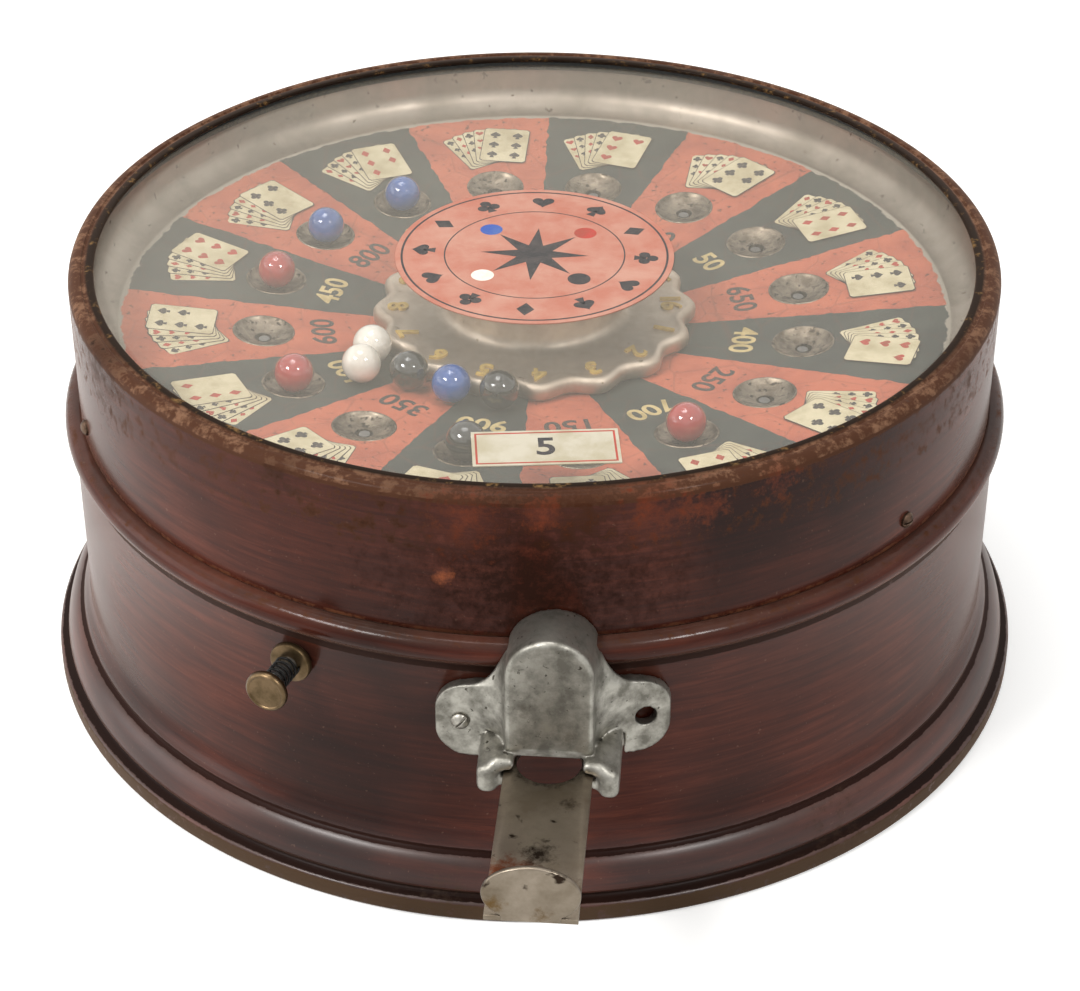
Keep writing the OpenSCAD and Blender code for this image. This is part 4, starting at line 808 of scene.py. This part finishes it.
# %% Printing inks
def ink(name, code, faded, mm):
    """A dull printed colour that fades in clouds of a given size."""
    material, tree, shader, place = start_finish(name, Roughness=0.8)
    cloud_colour(tree, shader, place, 1000/mm, [(0.36, faded), (0.6, code)], Detail=5.0, Roughness=0.65)
    return material


# Inks: card cream, pip red and black, and the two number colours, all faded in clouds
cream_ink = ink("cream_card_ink", "#d6c9a6", "#b7a884", 14)
red_ink = ink("red_pip_ink", "#b13a2c", "#96422f", 6)
black_ink = ink("black_pip_ink", "#2a2524", "#443b37", 6)
grey_ink = ink("dark_number_ink", "#2b2422", "#4a342c", 8)
pale_ink = ink("pale_number_ink", "#cfb883", "#a8935f", 8)


# %% Suit shapes
def heart(size):
    turns = [2*pi*i/28 for i in range(28)]
    return [[(size/34*16*sin(t)**3, size/34*(13*cos(t) - 5*cos(2*t) - 2*cos(3*t) - cos(4*t))) for t in turns]]


def diamond(size):
    return [[(0, size/2), (size*0.36, 0), (0, -size/2), (-size*0.36, 0)]]


def stem(size):
    return [(-size*0.2, -size/2), (size*0.2, -size/2), (size*0.04, 0), (-size*0.04, 0)]


def spade(size):
    return [[(x*0.95, -y*0.85 + size*0.08) for x, y in heart(size)[0]], stem(size)]


def club(size):
    r = size*0.235
    leaves = ((0, size*0.26), (-size*0.26, -size*0.08), (size*0.26, -size*0.08))
    return [round_outline(r, r, 16, x, y) for x, y in leaves] + [stem(size)]


SUITS = ((heart, "red"), (spade, "black"), (diamond, "red"), (club, "black"))


def suit_mesh(index, size, thickness):
    """A suit symbol as a flat mesh; its overlapping outlines are filled one by one."""
    return gather([(plate([outline], thickness), Matrix.Identity(4)) for outline in SUITS[index][0](size)])


# %% Lay things on the sheet
def on_sheet(i, r, lift):
    """Places a flat piece on wedge i, its top pointing outwards."""
    a = radians(POCKET_START - STEP*i)
    return (Matrix.Rotation(a, 4, "Z") @ Matrix.Translation((r, 0, field_at(r) + lift))
            @ Matrix.Rotation(-SLOPE, 4, "Y") @ Matrix.Rotation(-pi/2, 4, "Z"))


CARD_W, CARD_H, FAN_R, CARD_OUT, CARD_THIN, PIP_T = 18.4, 24.4, 112, 19.4, 0.06, 0.03
cards, outlines, red_pips, black_pips = [], [], [], []


def card_shape(grow):
    """A playing card's outline with clipped corners."""
    w, h = CARD_W/2 + grow, CARD_H/2 + grow
    return [(-w, -h + 1), (-w + 1, -h), (w - 1, -h), (w, -h + 1), (w, h - 1), (w - 1, h), (-w + 1, h), (-w, h - 1)]


for i in range(POCKETS):
    for k in range(5):
        lean = radians(30 - 9*k - 4*(i % 3))
        lift = 0.05 + 0.16*k
        lay = (on_sheet(i, FAN_R, lift) @ Matrix.Translation((3.6, 0, 0)) @ Matrix.Rotation(lean, 4, "Z")
               @ Matrix.Translation((0, CARD_OUT, 0)))
        outlines.append((plate([card_shape(0.3)], CARD_THIN), lay))
        cards.append((plate([card_shape(0)], CARD_THIN), lay @ Matrix.Translation((0, 0, CARD_THIN))))
        suit = (i*3 + k) % 4
        spots = [(-7, 9.4, 3.6), (-7, 3.8, 2.8), (-7, -1.8, 2.8)]
        if k == 4:
            spots = [(x, y, 4.8) for x in (-4.6, 4.6) for y in (7.4, 0, -7.4)][:4 + i % 3]
        for x, y, size in spots:
            target = red_pips if SUITS[suit][1] == "red" else black_pips
            target.append((suit_mesh(suit, size, PIP_T), lay @ Matrix.Translation((x, y, 2*CARD_THIN))))
piece("card_outlines", gather(outlines), grey_ink, "case")
piece("card_fans", gather(cards), cream_ink, "case")
piece("red_pips", gather(red_pips), red_ink, "case")
piece("black_pips", gather(black_pips), black_ink, "case")

# %% Wedge numbers
VALUES = (400, 250, 700, 150, 900, 350, 100, 600, 450, 800, 200, 550, 300, 750, 50, 650)
NUMBER_R, NUMBER_H, NUMBER_T = 79, 8.6, 0.05
for parity, material, label in ((0, pale_ink, "numbers_on_black"), (1, grey_ink, "numbers_on_orange")):
    texts = [(digits(str(VALUES[i]), NUMBER_H, NUMBER_T), on_sheet(i, NUMBER_R, NUMBER_T))
             for i in range(parity, POCKETS, 2)]
    piece(label, gather(texts), material, "case")

# %% [markdown]
# ## Pocket cups
# Sixteen stamped cups, dished like a saucer, sit in the sheet. They repeat round a circle, so one
# cup is turned once and a Geometry Nodes tree sets it round, tilted square to the slope.

# %% One cup
CUP_R, CUP_HOLE_R, CUP_H = 11.55, 3.2, 5.3
dish_r = (POCKET_R**2 + (POCKET_DEPTH - CARD_T)**2)/(2*(POCKET_DEPTH - CARD_T))
dish = [(r, dish_r - POCKET_DEPTH - sqrt(dish_r**2 - r*r)) for r in (CUP_HOLE_R, 4.5, 6, 7.5, 9, 10.2)]
cup = lathe(dish + [(10.6, 0.05), (10.9, 0.3), (11.3, 0.3), (CUP_R, 0.02), (CUP_R, -CARD_T), (CUP_R, -CUP_H),
                    (CUP_HOLE_R, -CUP_H)], 48)
cup_object = loose("cup", cup)

# %% Cups round the circle
ring_tree, ring_sockets, given = start_tree("cups_round_a_circle", {
    "Cup": "Object", "Count": "Int", "Radius": "Float", "Height": "Float", "Start": "Float", "Step": "Float",
    "Tilt": "Float", "Finish": "Material"})
number = add(ring_tree, "GeometryNodeInputIndex")
turn = add(ring_tree, "Math", {0: number, 1: given["Step"], 2: given["Start"]}, operation="MULTIPLY_ADD")
cosine = add(ring_tree, "Math", {0: turn}, operation="COSINE")
sine = add(ring_tree, "Math", {0: turn}, operation="SINE")
across = add(ring_tree, "Math", {0: cosine, 1: given["Radius"]}, operation="MULTIPLY")
along = add(ring_tree, "Math", {0: sine, 1: given["Radius"]}, operation="MULTIPLY")
spot = add(ring_tree, "CombineXYZ", {"X": across, "Y": along, "Z": given["Height"]})
points = add(ring_tree, "GeometryNodePoints", {"Count": given["Count"], "Position": spot})
lean = add(ring_tree, "CombineXYZ", {"Y": given["Tilt"], "Z": turn})
turned = add(ring_tree, "FunctionNodeEulerToRotation", {"Euler": lean})
shape = add(ring_tree, "GeometryNodeObjectInfo", {"Object": given["Cup"]})
set_on = add(ring_tree, "GeometryNodeInstanceOnPoints", {
    "Points": points, "Instance": shape.outputs["Geometry"], "Rotation": turned})
end_tree(ring_tree, set_on, given["Finish"])
cups = grown(ring_tree, ring_sockets, {
    "Cup": cup_object, "Count": POCKETS, "Radius": float(POCKET_CIRCLE), "Height": field_at(POCKET_CIRCLE),
    "Start": radians(POCKET_START), "Step": -radians(STEP), "Tilt": -SLOPE, "Finish": tarnished_cup})
piece("stamped_cups", cups, tarnished_cup, "case", ["pocket_cups"], 50)

# %% [markdown]
# ## The spinner
# A casting with a bumper edge of sixteen soft scallops, a rolled lip and a raised turret with a
# fillet at its foot. Its section is the same all round, except that the lip moves in and out, so it
# is swept like a turned piece with a radius that follows a cosine. Plain raised numbers stand in
# the hollows.

# %% Spinner casting
ROTOR_R, SCALLOP, ROTOR_START = 60.5, 4, -4.9
ROTOR_Z = field_at(ROTOR_R) + 0.6
ROTOR_TOP = ROTOR_Z + 6.4
TURRET_R, TURRET_TOP = 33, ROTOR_TOP + 13
SPINNER_STEPS = 384


def edge_r(a):
    """Radius of the scalloped lip at an angle."""
    return ROTOR_R - SCALLOP/2 - SCALLOP/2*cos(POCKETS*(a - radians(ROTOR_START)))


# Each row: radius, height, and how far the row follows the scallops (1 at the lip, 0 at the turret)
spinner_rows = [
    (0, TURRET_TOP, 0), (30.6, TURRET_TOP, 0), (32.1, TURRET_TOP - 0.4, 0), (32.8, TURRET_TOP - 1.2, 0),
    (TURRET_R, TURRET_TOP - 2.4, 0), (TURRET_R, ROTOR_TOP + 4, 0), (33.3, ROTOR_TOP + 2.3, 0),
    (34.2, ROTOR_TOP + 0.8, 0), (35.6, ROTOR_TOP - 0.1, 0), (37.6, ROTOR_TOP - 0.5, 0), (44, ROTOR_TOP - 0.7, 0.1),
    (52, ROTOR_TOP - 0.8, 0.7), (55.4, ROTOR_TOP - 0.7, 1), (56.8, ROTOR_TOP - 0.3, 1), (58, ROTOR_TOP, 1),
    (59.3, ROTOR_TOP - 0.4, 1), (60.2, ROTOR_TOP - 1.5, 1), (ROTOR_R, ROTOR_TOP - 3, 1), (60.3, ROTOR_Z + 1.2, 1),
    (59.4, ROTOR_Z, 1), (52, ROTOR_Z, 0.6), (50.5, ROTOR_Z, 0), (50.5, ROTOR_TOP - 3, 0), (8, ROTOR_TOP - 3, 0),
    (8, ROTOR_TOP - 1.6, 0), (31.5, ROTOR_TOP - 1.6, 0), (31.5, TURRET_TOP - 1.5, 0), (0, TURRET_TOP - 1.5, 0)]
spinner = lathe([(r, z) for r, z, _ in spinner_rows], SPINNER_STEPS)
spinner.verts.ensure_lookup_table()
start = 0
for r, z, follow in spinner_rows:
    count = SPINNER_STEPS if r > 0 else 1
    for i in range(count):
        a = 2*pi*i/SPINNER_STEPS
        pull = 1 - follow*(ROTOR_R - edge_r(a))/max(r, 1)
        co = spinner.verts[start + i].co
        co.x, co.y = co.x*pull, co.y*pull
    start += count
piece("spinner_casting", spinner, cast_spinner, "spinner", ["rotor", "turret_cap"], sharp=50)

# %% Raised numbers
RAISED_R, RAISED_H, RAISED_T = 50.6, 7.4, 1.1
raised = []
for i in range(POCKETS):
    a = radians(ROTOR_START - STEP*(i + 0.5))
    raised.append((digits(str(i + 1), RAISED_H, RAISED_T), Matrix.Rotation(a, 4, "Z")
                   @ Matrix.Translation((RAISED_R, 0, ROTOR_TOP - 1)) @ Matrix.Rotation(-pi/2, 4, "Z")))
gilt = ink("gilt_number_paint", "#c8a653", "#a3853f", 3)
piece("spinner_numbers", gather(raised), gilt, "spinner")

# %% [markdown]
# ## Marbles
# Fourteen-millimetre marbles of solid coloured glass, opaque to the eye. Their centres come from the
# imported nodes: a copy of a node is merged, split into its separate balls, and each ball gives its
# middle. A smooth ball with a clear coat stands there, so it shows the lamps as sharp points.

# %% Marble finishes
def marble_glass(name, code, swirl):
    """Opaque coloured glass with a faint swirl."""
    material, tree, shader, place = start_finish(name, Roughness=0.08, IOR=1.52, Coat_Weight=1.0, Coat_Roughness=0.02)
    cloud_colour(tree, shader, place, 130.0, [(0.35, swirl), (0.62, code)], Detail=3.0, Distortion=1.2)
    return material


# Solid glass colours under a clear skin, each with a faint swirl
red_glass = marble_glass("red_marble_glass", "#b02d2a", "#9c2524")
blue_glass = marble_glass("blue_marble_glass", "#1f57a2", "#1a4b90")
black_glass = marble_glass("black_marble_glass", "#141a18", "#0c100f")
white_glass = marble_glass("white_marble_glass", "#f2ebde", "#e6decf")


# %% Marbles
def balls_of(node):
    """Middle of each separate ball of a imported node, in millimetres."""
    bm = bmesh.new()
    bm.from_mesh(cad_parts[node].data)
    bmesh.ops.remove_doubles(bm, verts=bm.verts, dist=1e-6)
    left, found = set(bm.verts), []
    while left:
        group, edge = [], [left.pop()]
        while edge:
            vert = edge.pop()
            group.append(vert.co.copy())
            for e in vert.link_edges:
                other = e.other_vert(vert)
                if other in left:
                    left.remove(other)
                    edge.append(other)
        low = Vector(min(c[n] for c in group) for n in range(3))
        high = Vector(max(c[n] for c in group) for n in range(3))
        found.append((low + high)/2/MM)
    bm.free()
    return found


MARBLE_R = 7.15
for name, node, material, body, slot in (
        ("red_balls", "red_marbles", red_glass, "lifter", "red_marble"),
        ("blue_balls", "blue_marbles", blue_glass, "lifter", "blue_marble"),
        ("black_ball", "black_marble", black_glass, "lifter", "black_marble"),
        ("white_balls", "white_marbles", white_glass, "spinner", "white_marble"),
        ("loose_blue_ball", "center_blue_marble", blue_glass, "spinner", "blue_marble"),
        ("loose_black_balls", "center_black_marbles", black_glass, "spinner", "black_marble")):
    balls = bmesh.new()
    for centre in balls_of(node):
        bmesh.ops.create_uvsphere(balls, u_segments=48, v_segments=24, radius=MARBLE_R,
                                  matrix=Matrix.Translation(centre))
    piece(name, balls, material, body, [node], 180)

# %% [markdown]
# ## Glass, dust and the cards under it
# The lid is plate glass. A century of dust lies on its inner face as a pale film, which veils the
# playfield but not the two cards, because they are stuck to the glass above it. Both are see-through
# by opacity rather than by refraction: light goes straight through, and the model keeps its look
# when it is exported.

# %% Glass and film
GLASS_Z, GLASS_T, GLASS_R = 159.9, 3, 168.3
# Clear plate with a faint green tint that shows only in reflections
plate_glass, tree, shader, place = start_finish("plate_glass", Roughness=0.02, IOR=1.5, Alpha=0.02)
cloud_colour(tree, shader, place, 18.0, [(0.3, "#cfd6d0"), (0.7, "#e4e9e4")], Detail=3.0)
PANE_Z = GLASS_Z + 0.06
pane = lathe([(0, PANE_Z), (GLASS_R - 0.4, PANE_Z), (GLASS_R, PANE_Z + 0.4), (GLASS_R, GLASS_Z + GLASS_T - 0.4),
              (GLASS_R - 0.4, GLASS_Z + GLASS_T), (0, GLASS_Z + GLASS_T)])
piece("glass_pane", pane, plate_glass, "case", ["glass_top"])

# A pale film, thicker towards the far left, that takes the contrast out of the playfield
dust, tree, shader, place = start_finish("dust_film", Roughness=0.9)
cloud_colour(tree, shader, place, 7.0, [(0.3, "#d2c7b5"), (0.7, "#e3d8c6")], Detail=5.0, Roughness=0.6)
slant = add(tree, "VectorMath", {0: place, 1: (-0.6, 0.8, 0)}, operation="DOT_PRODUCT")
thicker = add(tree, "MapRange", {
    "Value": slant, "From Min": -0.16, "From Max": 0.16, "To Min": 0.058, "To Max": 0.115})
fill(shader, {"Alpha": thicker})
FILM_Z, FILM_R, FILM_T = GLASS_Z - 0.6, 165.2, 0.05
film = lathe([(0, FILM_Z), (FILM_R, FILM_Z), (FILM_R, FILM_Z + FILM_T), (0, FILM_Z + FILM_T)], 128)
piece("glass_dust", film, dust, "case")

# %% Medallion and price card
# Card stock: salmon where the orange has faded, and cream; two more dot colours
orange_card = ink("faded_orange_card", "#b26d58", "#be8a76", 20)
price_stock = ink("cream_price_card", "#bfb6a2", "#aea389", 12)
white_ink = ink("white_dot_ink", "#ece6d8", "#dcd4c2", 6)
blue_ink = ink("blue_dot_ink", "#2f4f9e", "#44619f", 6)
dress("medallion", orange_card)
dress("price_card_sheet", price_stock)

ART_Z, ART_T = GLASS_Z + 0.01, 0.02
STAR_R, STAR_NOTCH_R, SUIT_RING_R, SUIT_SIZE, DOT_RING_R, DOT_R = 20, 7, 41.4, 9, 25, 4.2
on_medallion = Matrix.Translation((0, 0, ART_Z))
dark_art = [(plate([round_outline(r, r, 128), round_outline(r - w, r - w, 128)], ART_T), on_medallion)
            for r, w in ((49.6, 0.8), (33.6, 0.5))]
star = [(r*sin(pi*i/8), r*cos(pi*i/8)) for i, r in enumerate((STAR_R, STAR_NOTCH_R)*8)]
dark_art.append((plate([star], ART_T), on_medallion))
for i in range(12):
    spin = Matrix.Rotation(-2*pi*i/12, 4, "Z") @ Matrix.Translation((0, SUIT_RING_R, ART_Z))
    dark_art.append((suit_mesh(i % 4, SUIT_SIZE, ART_T), spin))
piece("medallion_art", gather(dark_art), black_ink, "case")
dots = {"red": red_ink, "blue": blue_ink, "white": white_ink, "black": black_ink}
for i, (label, material) in enumerate(dots.items()):
    a = radians(45 + 90*i)
    dot = plate([round_outline(DOT_R, DOT_R, 40, DOT_RING_R*cos(a), DOT_RING_R*sin(a))], ART_T)
    piece(f"medallion_dot_{label}", gather([(dot, on_medallion)]), material, "case")

CARD_TURN, CARD_X, CARD_Y, PRICE_H = radians(7.5), -3, -133, 10
on_card = Matrix.Rotation(CARD_TURN, 4, "Z") @ Matrix.Translation((CARD_X, CARD_Y, ART_Z))
frame_line = plate([[(-x, -y), (x, -y), (x, y), (-x, y)] for x, y in ((23.4, 9.4), (22.7, 8.7))], ART_T)
piece("price_border", gather([(frame_line, on_card)]), red_ink, "case")
piece("price_number", gather([(digits("5", PRICE_H, ART_T), on_card)]), black_ink, "case")

# %% [markdown]
# ## What is inside
# The works are only seen in part, through a slot or from below, but they still get the finish of
# what they are: mill steel for brackets and rods, brass for bushes and gears, felt for the gasket.

# %% Finishes for the works
# Dark felt with a fibrous bloom
felt, tree, shader, place = start_finish("pressed_felt", Roughness=0.95, Sheen_Weight=0.3)
cloud_colour(tree, shader, place, 900.0, [(0.35, "#3a342d"), (0.65, "#57503f")], Detail=4.0)
finish_of = {
    felt: ["glass_gasket"],
    bare_steel: ["bottom_plate", "cross_member", "slide_support", "lift_bar", "lifter_ring", "center_post",
                 "guide_posts", "plunger_rod", "rotor_sleeve", "freewheel_cup", "lifter_pins", "drive_rack"],
    screw_steel: ["bottom_screws", "post_nut", "rotor_nut", "clutch_rollers"],
    aged_brass: ["bushing_nut", "rack_guide", "lift_bar_guide", "lift_ramps", "lifter_legs", "lifter_bushes",
                 "stop_collar", "pinion"]}
for material, nodes in finish_of.items():
    for node in nodes:
        dress(node, material)
print("works:", sum(len(nodes) for nodes in finish_of.values()), "nodes dressed")

# %% [markdown]
# ## Floor, light and camera
# A pale floor that fades to white far out, two soft boxes left and right above the camera, a large
# soft light overhead and a window-like one at the left. The world is white to the eye and in
# reflections, and gives a plain fill to everything else.

# %% Floor
floor_mesh = bpy.data.meshes.new("floor")
FLOOR_HALF = 6
corners = [(x*FLOOR_HALF, y*FLOOR_HALF, 0) for x, y in ((-1, -1), (1, -1), (1, 1), (-1, 1))]
floor_mesh.from_pydata(corners, [], [(0, 1, 2, 3)])
floor = in_scene("floor", floor_mesh)
floor.location.z = -0.0002
paper, tree, shader, place = start_finish("white_paper_floor", Roughness=0.9, Base_Color=linear("#f4f4f2"))
ray = add(tree, "LightPath")
away = add(tree, "VectorMath", {0: place}, operation="LENGTH")
fade = add(tree, "MapRange", {"Value": away, "From Min": 0.6, "From Max": 1.8, "To Min": 0.3})
glow = add(tree, "Math", {0: ray.outputs["Is Camera Ray"], 1: fade}, operation="MULTIPLY")
fill(shader, {"Emission Color": (1, 1, 1, 1), "Emission Strength": glow})
floor_mesh.materials.append(paper)
floor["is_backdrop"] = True

# %% World
FILL = 0.4
scene = bpy.context.scene
scene.view_settings.view_transform = "Standard"
world = bpy.data.worlds.new("studio")
scene.world = world
world.use_nodes = True
tree = world.node_tree
ray = add(tree, "LightPath").outputs
seen = add(tree, "Math", {0: ray["Is Camera Ray"], 1: ray["Is Glossy Ray"]}, operation="MAXIMUM")
seen = add(tree, "Math", {0: seen, 1: ray["Is Transmission Ray"]}, operation="MAXIMUM")
level = add(tree, "MapRange", {"Value": seen, "To Min": FILL, "To Max": 1.0})
fill(tree.nodes["Background"], {"Color": (1, 1, 1, 1), "Strength": level})

# %% Lamps
def soft_box(name, place, target, size, power):
    """A rectangular lamp that looks at a target."""
    light = bpy.data.lights.new(name, "AREA")
    light.shape, light.size, light.size_y, light.energy = "RECTANGLE", size[0], size[1], power
    lamp = in_scene(name, light)
    lamp.location = place
    lamp.rotation_euler = (Vector(target) - Vector(place)).to_track_quat("-Z", "Y").to_euler()


soft_box("left_box", (-0.95, -0.85, 1.45), (0, 0, 0.1), (0.6, 0.28), 20)
soft_box("right_box", (0.9, -0.9, 1.5), (0, 0, 0.1), (0.28, 0.28), 12)
soft_box("overhead", (-0.25, 0.25, 2.2), (0, 0, 0), (0.9, 0.9), 17)
soft_box("side_window", (-1.7, -0.3, 0.55), (0, 0, 0.08), (1.3, 1.0), 9)

# %% Camera
CAM_AZ, CAM_EL, CAM_AWAY = radians(4.6), radians(33.54), 1.07766
target = Vector((0, 0, 0.0526))
back = Vector((sin(CAM_AZ)*cos(CAM_EL), -cos(CAM_AZ)*cos(CAM_EL), sin(CAM_EL)))
lens = bpy.data.cameras.new("camera")
lens.sensor_width, lens.lens, lens.shift_x = 36, 91.72, 0.005
camera = in_scene("camera", lens)
camera.location = target + back*CAM_AWAY
camera.rotation_euler = (-back).to_track_quat("-Z", "Y").to_euler()
scene.camera = camera

# %% Compare the boxes and finish
for spare in (head_object, cup_object):
    bpy.data.objects.remove(spare)
visual_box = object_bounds()
for label, (low, high) in (("cad", cad_box), ("visual", visual_box)):
    print(label, [round(v, 4) for v in high - low])
